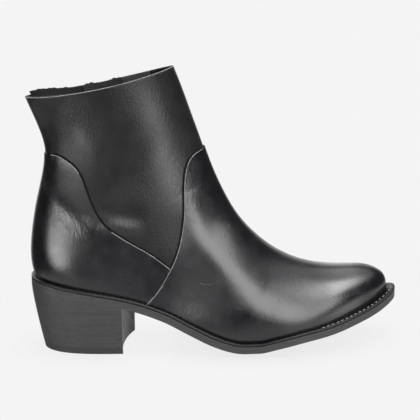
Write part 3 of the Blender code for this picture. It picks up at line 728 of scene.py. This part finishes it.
def cutSlit(piece):
    half, above, near = zipLine["slit"] / 2, -zipLine["cutAbove"], zipLine["cutFromY"]
    corners = ((above, -half), (zipLength, -half), (zipLength, half), (above, half))
    spots = [zipSpot(*corner) for corner in corners]
    bm = bmesh.new()
    face = bm.faces.new([bm.verts.new((x * mm, near * mm, z * mm)) for x, z in spots])
    grown = bmesh.ops.extrude_face_region(bm, geom=[face])["geom"]
    bmesh.ops.translate(bm, verts=vertsIn(grown), vec=(0, zipLine["cutDeep"] * mm, 0))
    bmesh.ops.recalc_face_normals(bm, faces=bm.faces)
    cutter = addObject("slitCutter", meshFrom("slitCutter", bm))
    cut = piece.modifiers.new("slit", "BOOLEAN")
    cut.operation = "DIFFERENCE"
    cut.solver = "EXACT"
    cut.object = cutter
    solid = bpy.data.meshes.new_from_object(piece.evaluated_get(bpy.context.evaluated_depsgraph_get()))
    piece.modifiers.clear()
    piece.data = solid
    bpy.data.objects.remove(cutter)


upper = makePiece("upperLeather", upperSheet(upperSize), (shaftLeather, liningLeather), "boot",
                  ("upper",), crinkled=True)
thicken(upper, upperSize["wall"], -1.0, 1)
cutSlit(upper)
print("upper:", len(upper.data.polygons), "faces")


# Vamp and counter

overlaySize = {"vampThick": 1.05, "counterThick": 0.85, "rise": 0.12, "foot": -0.6, "vampCells": (190, 80),
               "counterCells": (110, 56), "seamShare": 0.42, "backShare": 0.45, "toePack": 1.4,
               "counterFrontX": -42.0, "open": 0.003, "weld": 0.04, "edge": 0.3, "edgeAngle": 17.0,
               "sharpAngle": 20.0, "tuck": 0.55, "tuckFrom": 0.6, "tuckOver": 1.2}
seamSteps = 40


def arcShare(points):
    steps = runLength(points)
    return steps / steps[-1]


def vampEdge(side, size):  # u and v of the vamp's seam from the throat to the welt
    path = seamCurve(seams["vamp"], seamSteps)
    u, v = sectionAt(path[:, 0], path[:, 1])
    foot = soleLine(u, np.full_like(u, side), size["foot"])
    on = (v > size["open"]) & (v < foot)
    first = int(np.argmax(on))
    lastOn = len(on) - 1 - int(np.argmax(on[::-1]))
    u, v, path = u[first:lastOn + 1], v[first:lastOn + 1], path[first:lastOn + 1]
    v[-1] = foot[lastOn]
    return u, v, arcShare(path)


def vampHalf(side, size):
    edgeU, edgeV, share = vampEdge(side, size)

    def points(a, b):
        sides = np.full_like(a, side)
        inSeam = a <= size["seamShare"]
        onSeam = np.clip(a / size["seamShare"], 0, 1)
        onFeather = np.clip((a - size["seamShare"]) / (1 - size["seamShare"]), 0, 1)
        toToe = edgeU[-1] * (1 - onFeather)**size["toePack"]
        endU = np.where(inSeam, np.interp(onSeam, share, edgeU), toToe)
        endV = np.where(inSeam, np.interp(onSeam, share, edgeV), soleLine(endU, sides, size["foot"]))
        startU = np.where(inSeam, edgeU[0] + (edgeU[-1] - edgeU[0]) * onSeam, endU)
        return lastPoint(startU + (endU - startU) * b, endV * (1 - np.cos(np.pi * b / 2)), sides)

    return points


def counterHalf(side, size):
    path = seamCurve(seams["counter"], seamSteps)
    u, v = sectionAt(path[:, 0], path[:, 1])
    first = int(np.argmax(v < 1 - size["open"]))
    topU, topV, share = u[first:], np.clip(v[first:], 0, 1), arcShare(path[first:])
    tryU = np.linspace(uArch, uHeel, 200)
    trySides = np.full_like(tryU, side)
    tryX = lastPoint(tryU, soleLine(tryU, trySides, size["foot"]), trySides)[:, 0]
    frontU = float(np.interp(-size["counterFrontX"], -tryX, tryU))

    def points(a, b):
        sides = np.full_like(a, side)
        down = np.clip(a / size["backShare"], 0, 1)
        ahead = np.clip((a - size["backShare"]) / (1 - size["backShare"]), 0, 1)
        footU = topU[0] + (uHeel - topU[0]) * down + (frontU - uHeel) * ahead
        footV = np.where(a <= size["backShare"], 1.0, soleLine(footU, sides, size["foot"]))
        startU, startV = np.interp(a, share, topU), np.interp(a, share, topV)
        w = np.sin(np.pi * b / 2)
        return lastPoint(startU + (footU - startU) * b, startV + (footV - startV) * w, sides)

    return points


def underVamp(points):  # presses the counter in where the vamp lies over it
    path = seamCurve(seams["vamp"])
    ahead = points[:, 0] - np.interp(-points[:, 2], -path[:, 1], path[:, 0])
    return -overlaySize["tuck"] * np.clip((ahead + overlaySize["tuckFrom"]) / overlaySize["tuckOver"], 0, 1)


def overlay(name, node, half, press=None):
    bm = bmesh.new()
    for side in bothSides:
        made, a, b = addGrid(bm, *overlaySize[node + "Cells"])
        place(made, half(side, overlaySize)(a, b))
    weld(bm, overlaySize["weld"])
    pushOut(bm, overlaySize["rise"], press)
    piece = makePiece(name, bm, (smoothLeather,), "boot", (node,), crinkled=True)
    sharp = math.radians(overlaySize["sharpAngle"])
    piece.data.set_sharp_from_angle(angle=sharp)  # keeps the shading of a tucked edge off the skin
    thicken(piece, overlaySize[node + "Thick"], 1.0)
    softenEdges(piece, overlaySize["edge"], overlaySize["edgeAngle"])


overlay("vampLeather", "vamp", vampHalf)
overlay("counterLeather", "counter", counterHalf, underVamp)
print("overlays made")


# Sole, welt, insole and heel

soleSize = {"outsoleCells": (150, 24), "insoleCells": (110, 20), "outsoleTop": 4.95, "insoleBottom": 5.0,
            "insoleTop": 8.9, "insoleIn": 2.4, "insoleEdge": 1.0, "weltIn": 2.3, "weltRound": (280, 12),
            "weltBulge": 0.35, "weltRise": 0.6, "edge": 0.7}


def flatReach(distance):
    return lambda x: np.full_like(x, distance)


def plate(cells, reach, heights):  # sole layer between two heights over the tread
    def layerAt(height):
        def layer(a, b):
            outer, inner = offsetOutline(a, reach)
            share = (1 - np.cos(np.pi * b)) / 2
            x, y = (outer + (inner - outer) * share[:, None]).T
            return np.stack([x, y, level(x, y, height)], -1)
        return layer
    return layeredSolid(*cells, [layerAt(height) for height in heights])


outsolePlate = plate(soleSize["outsoleCells"], reachCurve, (0.0, soleSize["outsoleTop"]))
outsole = makePiece("outsoleEdge", outsolePlate, (stackedHeel, soleRubber), "boot",
                    ("outsole",))
paintUnderside(outsole)
softenEdges(outsole, soleSize["edge"], segments=3)

insolePlate = plate(soleSize["insoleCells"], flatReach(-soleSize["insoleIn"]),
                    (soleSize["insoleBottom"], soleSize["insoleTop"]))
insole = makePiece("insoleSock", insolePlate, (liningLeather,), "boot", ("insole",))
softenEdges(insole, soleSize["insoleEdge"], segments=3)


def swell(wave, power):
    return np.sign(wave) * np.abs(wave)**power


def weltRing(size):
    bm = bmesh.new()
    made, a, b = addGrid(bm, *size["weltRound"])
    half = np.where(a <= 0.5, 2 * a, 2 - 2 * a)
    lateral = (a <= 0.5)[:, None]
    outer = np.where(lateral, *offsetOutline(half, reachCurve))
    inner = np.where(lateral, *offsetOutline(half, flatReach(-size["weltIn"])))
    turn = 2 * np.pi * b
    share = (1 - swell(np.cos(turn), size["weltBulge"])) / 2
    x, y = (outer + (inner - outer) * share[:, None]).T
    middle = (last["weltBottom"] + last["weltTop"]) / 2
    deep = (last["weltTop"] - last["weltBottom"]) / 2
    height = middle + deep * swell(np.sin(turn), size["weltRise"])
    place(made, np.stack([x, y, level(x, y, height)], -1))
    weld(bm)
    return bm


makePiece("weltStrip", weltRing(soleSize), (weltLeather,), "boot", ("welt",))

heelSize = {"breastLateral": -66.8, "breastMedial": -58.0, "hollow": 3.4, "backDraw": 8.2, "sideDraw": 4.6,
            "drawPower": 1.25, "backX": -130.0, "half": 30.0, "cells": (56, 28), "layers": 12, "lift": 5.0,
            "gap": 0.3, "edge": 0.5}


def heelPlan(a, b):
    t = np.linspace(0, 1, 400)
    outerLine, innerLine = offsetOutline(t, reachCurve)
    startOuter = np.interp(-heelSize["breastLateral"], -outerLine[:, 0], t)
    startInner = np.interp(-heelSize["breastMedial"], -innerLine[:, 0], t)
    outer = offsetOutline(startOuter + a * (1 - startOuter), reachCurve)[0]
    inner = offsetOutline(startInner + a * (1 - startInner), reachCurve)[1]
    points = outer + (inner - outer) * b[:, None]
    points[:, 0] -= heelSize["hollow"] * 4 * b * (1 - b) * (1 - a)**2
    return points


def heelDraw(x, y, z, top):
    down = np.clip(1 - z / top, 0, 1)**heelSize["drawPower"]
    breast = (heelSize["breastLateral"] + heelSize["breastMedial"]) / 2
    back = (breast - x) / (breast - heelSize["backX"])
    return (x + heelSize["backDraw"] * down * np.clip(back, 0, 1),
            y * (1 - down * heelSize["sideDraw"] / heelSize["half"]))


def heelLayer(height, share):  # from a flat height, share of the way up to the seat
    def layer(a, b):
        x, y = heelPlan(a, b).T
        top = level(x, y, 0.0)
        z = height + share * (top - height)
        return np.stack([*heelDraw(x, y, z, top - heelSize["gap"]), z], -1)
    return layer


blockLayers = [heelLayer(heelSize["lift"], share) for share in np.linspace(0, 1, heelSize["layers"])]
heel = makePiece("stackedHeelBlock", layeredSolid(*heelSize["cells"], blockLayers),
                 (stackedHeel,), "boot", ("heel",))
softenEdges(heel, heelSize["edge"])
liftLayers = [heelLayer(height, 0.0) for height in (0.0, heelSize["lift"])]
lift = makePiece("topLiftRubber", layeredSolid(*heelSize["cells"], liftLayers),
                 (liftRubber, soleRubber), "boot", ("top_lift",))
paintUnderside(lift)
softenEdges(lift, heelSize["edge"])
print("sole and heel made")


# Zip

tapeOut = -zipLine["tapeDepth"]
tapeEnd = zipLength - zipLine["endGap"]


def tapeLayer(rise):
    def layer(a, b):
        along = zipLine["start"] + a * (tapeEnd - zipLine["start"])
        return zipSkin(along, (b - 0.5) * (zipLine["slit"] - zipLine["tapePlay"]), rise)
    return layer


tapeLayers = [tapeLayer(tapeOut - zipLine["tape"]), tapeLayer(tapeOut)]
makePiece("zipTape", layeredSolid(*zipLine["tapeCells"], tapeLayers), (zipCloth,), "boot",
          ("zip_tape",))


def frameOn(points, ways, outs):
    frames = []
    for point, way, out in zip(points, ways, outs):
        along = Vector(way).normalized()
        up = Vector(out)
        up = (up - along * up.dot(along)).normalized()
        across = up.cross(along)
        turn = Matrix((along, across, up)).transposed().to_4x4()
        frames.append(shifted(point) @ turn)
    return frames


def skinAt(x, z, side, rise):  # points on the creased skin at side-view places, and the way out of it
    x, z = np.asarray(x, float), np.asarray(z, float)
    sides = np.full_like(x, side)
    here = sidePoint(x, z, sides)
    step = 0.25
    dx = sidePoint(x + step, z, sides) - sidePoint(x - step, z, sides)
    dz = sidePoint(x, z + step, sides) - sidePoint(x, z - step, sides)
    out = unit(np.cross(dx, dz))
    out *= np.where(out[:, 1:2] * side < 0, -1, 1)
    return here + out * (reliefAt(here) + rise)[:, None], out


def zipTeeth():
    bm = bmesh.new()
    first, end = zipLine["teethFrom"], tapeEnd - zipLine["teethEnd"]
    count = int((end - first) / zipLine["toothPitch"])
    along = first + np.arange(count) * zipLine["toothPitch"]
    across = np.where(np.arange(count) % 2, zipLine["toothShift"], -zipLine["toothShift"])
    spots = zipSpot(along, across)
    points, outs = skinAt(spots[:, 0], spots[:, 1], 1.0, tapeOut + zipLine["toothRise"])
    way = np.tile([zipAcross[0], 0.0, zipAcross[1]], (count, 1))
    for spot in frameOn(points, way, outs):
        made = addCube(bm, zipLine["toothSize"], spot)
        bevelEdges(bm, edgesOf(made), zipLine["toothBevel"], 1)
    bmesh.ops.recalc_face_normals(bm, faces=bm.faces)
    return bm


makePiece("zipTeeth", zipTeeth(), (zipMetal,), "boot", ("zip_teeth",), smooth=False)

sliderSize = {"fromTop": 14.0, "probe": 4.0, "foot": 1.1, "plate": (8.4, 11.0, 2.0), "plateShift": -1.0,
              "narrow": 0.72, "corner": 1.2, "rim": 0.35, "rimAngle": 0.8, "post": (1.2, 2.4), "postAt": 2.6,
              "postSunk": 0.4, "postCap": 0.6, "postBevel": 0.3, "bridge": 6.0, "bridgeRise": 2.9,
              "bridgeRadius": 0.8}
bridgeHigh = sliderSize["foot"] + sliderSize["plate"][2] + sliderSize["bridgeRise"]


def sliderPlace():
    step, top = sliderSize["probe"], sliderSize["fromTop"]
    spots = ((top, 0.0), (top - step, 0.0), (top + step, 0.0), (top, -step), (top, step))
    here, above, below, behind, ahead = [Vector(zipSkin(*spot, 0.0)) for spot in spots]
    up = (above - below).normalized()
    out = up.cross(ahead - behind).normalized()
    out *= 1 if out.y > 0 else -1
    turn = Matrix((up.cross(out), up, out)).transposed().to_4x4()
    return shifted(here) @ turn


def block(bm, size, centre, width):
    bevelEdges(bm, edgesOf(addCube(bm, size, shifted(centre))), width)


def rod(bm, radius, length, centre):
    spot = shifted(centre) @ Matrix.Rotation(math.pi / 2, 4, "Y")
    bmesh.ops.create_cone(bm, cap_ends=True, segments=24, radius1=radius * mm, radius2=radius * mm,
                          depth=length * mm, matrix=spot)


def sliderBody(size):
    bm = bmesh.new()
    thick, shift, sunk = size["plate"][2], size["plateShift"], size["postSunk"]
    made = addCube(bm, size["plate"], shifted((0, shift, size["foot"] + thick / 2)))
    for vert in made:
        if vert.co.y < shift * mm:
            vert.co.x *= size["narrow"]
    bevelEdges(bm, uprights(bm.edges, thick), size["corner"], 4)
    rim = [edge for edge in bm.edges if edge.calc_face_angle(0.0) > size["rimAngle"]]
    bevelEdges(bm, rim, size["rim"])
    postHigh = sunk + size["bridgeRise"] + size["bridgeRadius"] + size["postCap"]
    for x in (-size["postAt"], size["postAt"]):
        centre = (x, 0.0, size["foot"] + thick - sunk + postHigh / 2)
        block(bm, (*size["post"], postHigh), centre, size["postBevel"])
    rod(bm, size["bridgeRadius"], size["bridge"], (0, 0, bridgeHigh))
    bmesh.ops.recalc_face_normals(bm, faces=bm.faces)
    return bm


tabSize = {"eye": (1.2, 2.2, 3.4), "eyeSteps": 28, "neckSunk": 0.4, "neckEnd": 8.1, "neckBevel": 0.25,
           "start": 6.0, "tab": (6.0, 21.0, 1.2), "corner": 2.0, "plateArea": 60.0, "border": 0.9,
           "sunk": 0.2, "tilt": -0.5}


def pullTab(size):
    bm = bmesh.new()
    inner, outer, wide = size["eye"]
    corners = ((-1, inner), (1, inner), (1, outer), (-1, outer))
    spots = [bm.verts.new((x * wide / 2 * mm, 0, radius * mm)) for x, radius in corners]
    ring = [bm.edges.new((spots[i], spots[(i + 1) % 4])) for i in range(4)]
    bmesh.ops.spin(bm, geom=spots + ring, cent=(0, 0, 0), axis=(1, 0, 0), dvec=(0, 0, 0), angle=2 * math.pi,
                   steps=size["eyeSteps"], use_merge=True, use_duplicate=False)
    neckFrom, neckEnd = outer - size["neckSunk"], size["neckEnd"]
    _, tabLong, tabThick = size["tab"]
    block(bm, (wide, neckEnd - neckFrom, tabThick), (0, -(neckFrom + neckEnd) / 2, 0), size["neckBevel"])
    made = addCube(bm, size["tab"], shifted((0, -size["start"] - tabLong / 2, 0)))
    bevelEdges(bm, uprights(edgesOf(made), tabThick), size["corner"], 6)
    smallest = size["plateArea"] * mm * mm
    for plateFace in [face for face in bm.faces if abs(face.normal.z) > 0.9 and face.calc_area() > smallest]:
        bmesh.ops.inset_region(bm, faces=[plateFace], thickness=size["border"] * mm, depth=0.0)
        bmesh.ops.inset_region(bm, faces=[plateFace], thickness=size["sunk"] * mm, depth=-size["sunk"] * mm)
    bmesh.ops.recalc_face_normals(bm, faces=bm.faces)
    return bm


sliderAt = sliderPlace()
sliderMesh = sliderBody(sliderSize)
bmesh.ops.transform(sliderMesh, matrix=sliderAt, verts=sliderMesh.verts)
makePiece("zipSlider", sliderMesh, (zipMetal,), "boot", ("zip_slider",), smooth=False)
hang = sliderAt @ Matrix.Translation((0, 0, bridgeHigh * mm))
hang = hang @ Matrix.Rotation(math.radians(tabSize["tilt"]), 4, "X")
pullMesh = pullTab(tabSize)
bmesh.ops.transform(pullMesh, matrix=hang, verts=pullMesh.verts)
makePiece("zipPullTab", pullMesh, (zipMetal,), "pull", ("zip_pull",), smooth=False)
print("zip made")


# Stitches along the seams, light beads on the cut edges that paint their highlight, and dark strips that
# paint the shade of the groove beside each seam

seamRows = {  # seam, way in from its edge, where the row starts and ends in side view, rise over the skin
    "stitches": (("vamp", 1.1, 135.0, 62.0, 0.15), ("vamp", 1.1, 58.0, 42.0, 1.05),
                 ("counter", 1.1, -112.0, -33.0, 0.15)),
    # edges: light beads on the cut edges of the vamp and counter, a painted highlight
    "edges": (("vamp", -0.15, 139.6, 34.0, 1.0), ("counter", -0.15, -114.0, -94.0, 0.82),
              ("counter", -0.15, -73.0, -33.0, 0.82)),
    # dark strips on the skin beside the seams: painted shade of the stitch groove
    "seamShade": (("vamp", 0.6, 138.0, 62.5, 0.0), ("counter", 0.6, -113.0, -33.0, 0.0)),
}
scuffs = (((-13.4, 51.9), (-10, 50.8), (-5.6, 51.2)), ((71.5, 42.6), (73.6, 41.8), (75.6, 41.4)),
          ((82.6, 42.9), (84.6, 42.2)))
# Welt stitches ahead of toeFrom are light grey, a painted highlight at the toe
stitchSize = {"pitch": 1.8, "size": (1.45, 0.8, 0.5), "weltPitch": 4.0, "weltSize": (2.8, 0.8, 0.6),
              "weltIn": 1.5, "weltShare": 0.5, "weltTrim": 1.0, "weltRise": 0.02, "toeFrom": 70.0}
beadSize = {"edges": (0.45, 0.45), "seamShade": (0.9, 0.3), "scuffs": (0.09, 0.06), "step": 0.8, "weld": 0.01}


def evenly(path, pitch, trim=0.0):  # points a pitch apart along a path
    steps = runLength(path)
    at = np.arange(trim, steps[-1] - trim, pitch)
    return np.stack([np.interp(at, steps, column) for column in path.T], -1)


def beside(path, distance):  # a side-view path moved to its left
    way = unit(np.gradient(path, axis=0))
    return path + np.stack([-way[:, 1], way[:, 0]], -1) * distance


def seamPath(seam, distance, start, end):  # the vamp's rows run down and the counter's forward
    if seam == "vamp":
        path = beside(seamCurve(seams["vamp"]), -distance)
        return path[(path[:, 1] < start) & (path[:, 1] > end)]
    path = beside(seamCurve(seams["counter"]), distance)
    return path[(path[:, 0] > start) & (path[:, 0] < end)]


def addStitches(bm, frames, size):
    for spot in frames:
        bmesh.ops.create_uvsphere(bm, u_segments=8, v_segments=5, radius=0.5 * mm,
                                  matrix=spot @ Matrix.Diagonal((*size, 1)))


def seamStitches():
    bm = bmesh.new()
    for side in bothSides:
        for *row, rise in seamRows["stitches"]:
            path = evenly(seamPath(*row), stitchSize["pitch"])
            points, outs = skinAt(path[:, 0], path[:, 1], side, rise)
            addStitches(bm, frameOn(points, np.gradient(points, axis=0), outs), stitchSize["size"])
    return bm


def addBead(bm, points, outs, width, high):  # a thin rounded strip along a path
    across = unit(np.cross(outs, np.gradient(points, axis=0)))
    made, a, b = addGrid(bm, len(points) - 1, 8)
    i = np.clip(np.round(a * (len(points) - 1)).astype(int), 0, len(points) - 1)
    turn = 2 * np.pi * b
    aside, up = np.cos(turn) * width / 2, np.sin(turn) * high / 2
    place(made, points[i] + across[i] * aside[:, None] + outs[i] * up[:, None])


def skinBead(bm, path, side, rise, width, high):
    path = evenly(path, beadSize["step"])
    points, outs = skinAt(path[:, 0], path[:, 1], side, rise)
    addBead(bm, points, outs, width, high)


def seamBeads(kind):
    bm = bmesh.new()
    for side in bothSides:
        for *row, rise in seamRows[kind]:
            skinBead(bm, seamPath(*row), side, rise, *beadSize[kind])
    weld(bm, beadSize["weld"])
    return bm


def scuffMarks():
    bm = bmesh.new()
    for line in scuffs:
        rise = overlaySize["rise"] + overlaySize["vampThick"]
        skinBead(bm, seamCurve(line, 10), -1.0, rise, *beadSize["scuffs"])
    weld(bm, beadSize["weld"])
    return bm


makePiece("scuffMarks", scuffMarks(), (scuffGreyAndStitchHighlight,), "boot")
# Light beads on the seam edges, a painted highlight
makePiece("paintedEdgeHighlights", seamBeads("edges"), (paintedEdgeHighlight,), "boot")
# Dark strips beside the seams, painted shade of the stitch groove
makePiece("paintedSeamShade", seamBeads("seamShade"), (blackThreadAndSeamShade,), "boot")


def collarBead():  # runs round the collar and leaves the slit open
    bm = bmesh.new()
    across = 2 * np.linspace(0, 1, 400) - 1
    side = np.where(across < 0, -1.0, 1.0)
    v = (1 - np.cos(np.pi * np.abs(across))) / 2
    rim = lastPoint(np.full_like(v, uCollar), v, side)
    outs = unit(rim - lastPoint(np.full_like(v, uCollar - 0.05), v, side))
    slit = np.abs((rim[:, [0, 2]] - np.array(zipLine["top"])) @ zipAcross) < zipLine["slit"] / 2
    keep = ~(slit & (rim[:, 1] > zipLine["cutFromY"]))
    starts = np.flatnonzero(np.diff(np.concatenate([[False], keep, [False]]).astype(int)))
    for start, stop in zip(starts[::2], starts[1::2]):
        addBead(bm, rim[start:stop], outs[start:stop], *beadSize["edges"])
    weld(bm, beadSize["weld"])
    return bm


# The bead's outer half takes the light edge colour, a painted highlight on the collar's near edge; its inner
# half is plain dark leather
collarHighlightEdge = makePiece("collarHighlightEdge", collarBead(), (paintedEdgeHighlight, weltLeather), "boot")
for face in collarHighlightEdge.data.polygons:
    face.material_index = 1 if face.center.y > 0 else 0

# Strips inside the inner wall that stand a little above the collar
linerSize = {"drop": 1.5, "thick": 0.5, "cells": (80, 24), "stepU": 0.02, "stepV": 0.004}


def linerStrip(fromV, toV, inset, rise):
    bm = bmesh.new()
    made, a, b = addGrid(bm, *linerSize["cells"])
    v = fromV + a * (toV - fromV)
    u = uCollar + rise(v) - linerSize["drop"] * (1 - b)
    side = np.ones_like(v)
    here = lastPoint(u, v, side)
    up = lastPoint(u + linerSize["stepU"], v, side) - here
    ahead = lastPoint(u, np.minimum(v + linerSize["stepV"], 1), side)
    out = unit(np.cross(ahead - lastPoint(u, v - linerSize["stepV"], side), up))
    out *= np.where(out[:, 1:2] < 0, -1, 1)
    place(made, here - out * inset)
    bmesh.ops.recalc_face_normals(bm, faces=bm.faces)
    return bm


def backRise(v):
    return 0.13 * np.clip((v - 0.68) / 0.2, 0, 1) + 0.012 * np.sin(70 * v) + 0.008 * np.sin(171 * v)


def tapeRise(v):
    return 0.05 * np.sin(34 * v + 1.0) * np.clip((v - 0.34) / 0.05, 0, 1) + 0.016 * np.sin(160 * v) + 0.01


def guardRise(v):
    return 0.02 * np.sin(40 * v) + 0.015


for name, fromV, toV, inset, rise, material, slotName in (
        ("backLiner", 0.655, 0.985, 2.3, backRise, liningLeather, "inner_leather"),
        ("tapeEnds", 0.345, 0.632, 2.4, tapeRise, zipCloth, "zip_cloth"),
        ("zipGuard", 0.147, 0.352, 3.1, guardRise, guardLeather, "inner_leather")):
    liner = makePiece(name, linerStrip(fromV, toV, inset, rise), (material,), "boot")
    thicken(liner, linerSize["thick"], 0.0)
makePiece("seamStitches", seamStitches(), (blackThreadAndSeamShade,), "boot")


def stitchReach(x):  # the row lies part of the way from the skin to the welt's edge
    return stitchSize["weltIn"] + stitchSize["weltShare"] * (reachCurve(x) - stitchSize["weltIn"])


def weltStitches(low, high):
    bm = bmesh.new()
    for line in offsetOutline(np.linspace(0.0, 1.0, 500), stitchReach):
        path = evenly(line, stitchSize["weltPitch"], stitchSize["weltTrim"])
        z = level(path[:, 0], path[:, 1], last["weltTop"] + stitchSize["weltRise"])
        points = np.column_stack([path, z])
        outs = np.tile([0.0, 0.0, 1.0], (len(points), 1))
        frames = frameOn(points, np.gradient(points, axis=0), outs)
        kept = [spot for spot, x in zip(frames, path[:, 0]) if low < x <= high]
        addStitches(bm, kept, stitchSize["weltSize"])
    return bm


# The welt stitches near the toe are light grey, a painted highlight; the same row further back stays black
toeFrom = stitchSize["toeFrom"]
makePiece("weltStitches", weltStitches(-math.inf, toeFrom), (blackThreadAndSeamShade,), "boot")
makePiece("toeStitchHighlights", weltStitches(toeFrom, math.inf), (scuffGreyAndStitchHighlight,), "boot")
print("stitches made")


# Floor, light and camera

stageSize = {"floor": 60.0, "pale": 0.905, "shade": 0.8, "shadeReach": 0.03}


def makeFloor():
    bm = bmesh.new()
    bmesh.ops.create_grid(bm, x_segments=1, y_segments=1, size=stageSize["floor"] / 2)
    floor = addObject("paleFloor", meshFrom("paleFloor", bm))
    material = bpy.data.materials.new("paleFloor")
    material.use_nodes = True
    tree = material.node_tree
    tree.nodes.clear()
    near = addNode(tree, "ShaderNodeAmbientOcclusion", samples=8, Distance=stageSize["shadeReach"])
    glow = addNode(tree, "ShaderNodeEmission")
    shade, pale = grey(stageSize["shade"]), grey(stageSize["pale"])
    shadeBetween(tree, near.outputs["AO"], shade, pale, glow.inputs["Color"])
    tree.links.new(glow.outputs[0], addNode(tree, "ShaderNodeOutputMaterial").inputs["Surface"])
    floor.data.materials.append(material)
    floor.visible_glossy = False  # the studio's own glow stands for the floor in the gloss


# Soft boxes of the studio as seen from the boot, in degrees round from the camera's side towards the toe,
# and up. Each edge is given by where it starts and where it is full, and a slanted one also by its share
# of the turn.
softBoxes = (
    # left, right, low, high, glow, slants
    ((-8, 6), (42, 55), (-7, 1), (57, 70), 7.6, ((0.9, 18, 33), (-2.2, -101, -79))),
    ((42, 54), (94, 120), (35, 45), (90, 99), 7.4, ((-0.45, 14, 27),)),
    ((45, 58), (165, 178), (36, 46), (90, 99), 1.4, ()),
    ((20, 32), (65, 80), (-30, -18), (-1, 3), 0.7, ()),
    ((-85, -75), (-42, -24), (-27, -20), (-1, 6), 9.8, ((1.25, -100, -80),)),
    ((-75, -60), (-12, 4), (-4, 3), (14, 26), 1.3, ()),
    ((-42, -32), (-16, -4), (-30, -20), (0, 5), 0.8, ()),
    ((-178, -160), (-125, -105), (10, 22), (45, 58), 4.5, ()),
)
studio = {"room": 0.06, "behind": 1.0, "behindEdge": (0.72, 0.95), "floorGlow": 1.0,
          "floorEnd": (-12.0, -3.0), "heelFloor": 23.0, "heelEdge": (-12.0, 16.0)}


def softBox(tree, turn, lift, box):
    left, right, low, high, glow, slants = box
    total = glow
    rises, falls = (0.0, 1.0), (1.0, 0.0)
    edges = ((turn, left, rises), (turn, right, falls), (lift, low, rises), (lift, high, falls))
    for value, edge, ends in edges:
        total = calc(tree, "MULTIPLY", spread(tree, value, *ends, *edge), total)
    for share, start, full in slants:
        corner = calc(tree, "MULTIPLY_ADD", turn, share, lift)
        total = calc(tree, "MULTIPLY", spread(tree, corner, 0.0, 1.0, start, full), total)
    return total


def makeWorld():
    world = bpy.data.worlds.new("studio")
    bpy.context.scene.world = world
    world.use_nodes = True
    tree = world.node_tree
    tree.nodes.clear()
    way = texture(tree, "ShaderNodeSeparateXYZ", addNode(tree, "ShaderNodeTexCoord").outputs["Generated"])
    ahead = calc(tree, "MULTIPLY", way.outputs["Y"], -1.0)
    turn = calc(tree, "MULTIPLY", calc(tree, "ARCTAN2", way.outputs["X"], ahead), math.degrees(1.0))
    lift = calc(tree, "MULTIPLY", calc(tree, "ARCSINE", way.outputs["Z"]), math.degrees(1.0))
    behind = spread(tree, way.outputs["Y"], 0.0, studio["behind"], *studio["behindEdge"])
    sunk = calc(tree, "ADD", lift, spread(tree, turn, studio["heelFloor"], 0.0, *studio["heelEdge"]))
    below = spread(tree, sunk, studio["floorGlow"], 0.0, *studio["floorEnd"])
    room = calc(tree, "ADD", calc(tree, "ADD", behind, studio["room"]), below)
    for box in softBoxes:
        room = calc(tree, "ADD", room, softBox(tree, turn, lift, box))
    seen = addNode(tree, "ShaderNodeLightPath").outputs["Is Camera Ray"]
    unseen = calc(tree, "SUBTRACT", 1.0, seen)
    strength = calc(tree, "ADD", calc(tree, "MULTIPLY", seen, stageSize["pale"]),
                    calc(tree, "MULTIPLY", unseen, room))
    glow = addNode(tree, "ShaderNodeBackground", Color=(1, 1, 1, 1))
    tree.links.new(strength, glow.inputs["Strength"])
    tree.links.new(glow.outputs[0], addNode(tree, "ShaderNodeOutputWorld").inputs["Surface"])


makeFloor()
makeWorld()

view = {"spot": (-56.6, -748.2, 257.0), "aim": (-4.3, 0.0, 95.0), "lens": 93.94, "sensor": 36.0}
lensData = bpy.data.cameras.new("photoCamera")
lensData.lens = view["lens"]
lensData.sensor_width = view["sensor"]
lensData.sensor_height = view["sensor"]
lensData.sensor_fit = "HORIZONTAL"
lensData.clip_start = 0.01
lensData.clip_end = 200.0
camera = addObject("photoCamera", lensData)
camera.location = Vector(view["spot"]) * mm
camera.rotation_euler = (Vector(view["aim"]) - Vector(view["spot"])).to_track_quat("-Z", "Y").to_euler()
bpy.context.scene.camera = camera
bpy.context.scene.view_settings.view_transform = "Standard"
print("stage set")

bpy.context.view_layer.update()
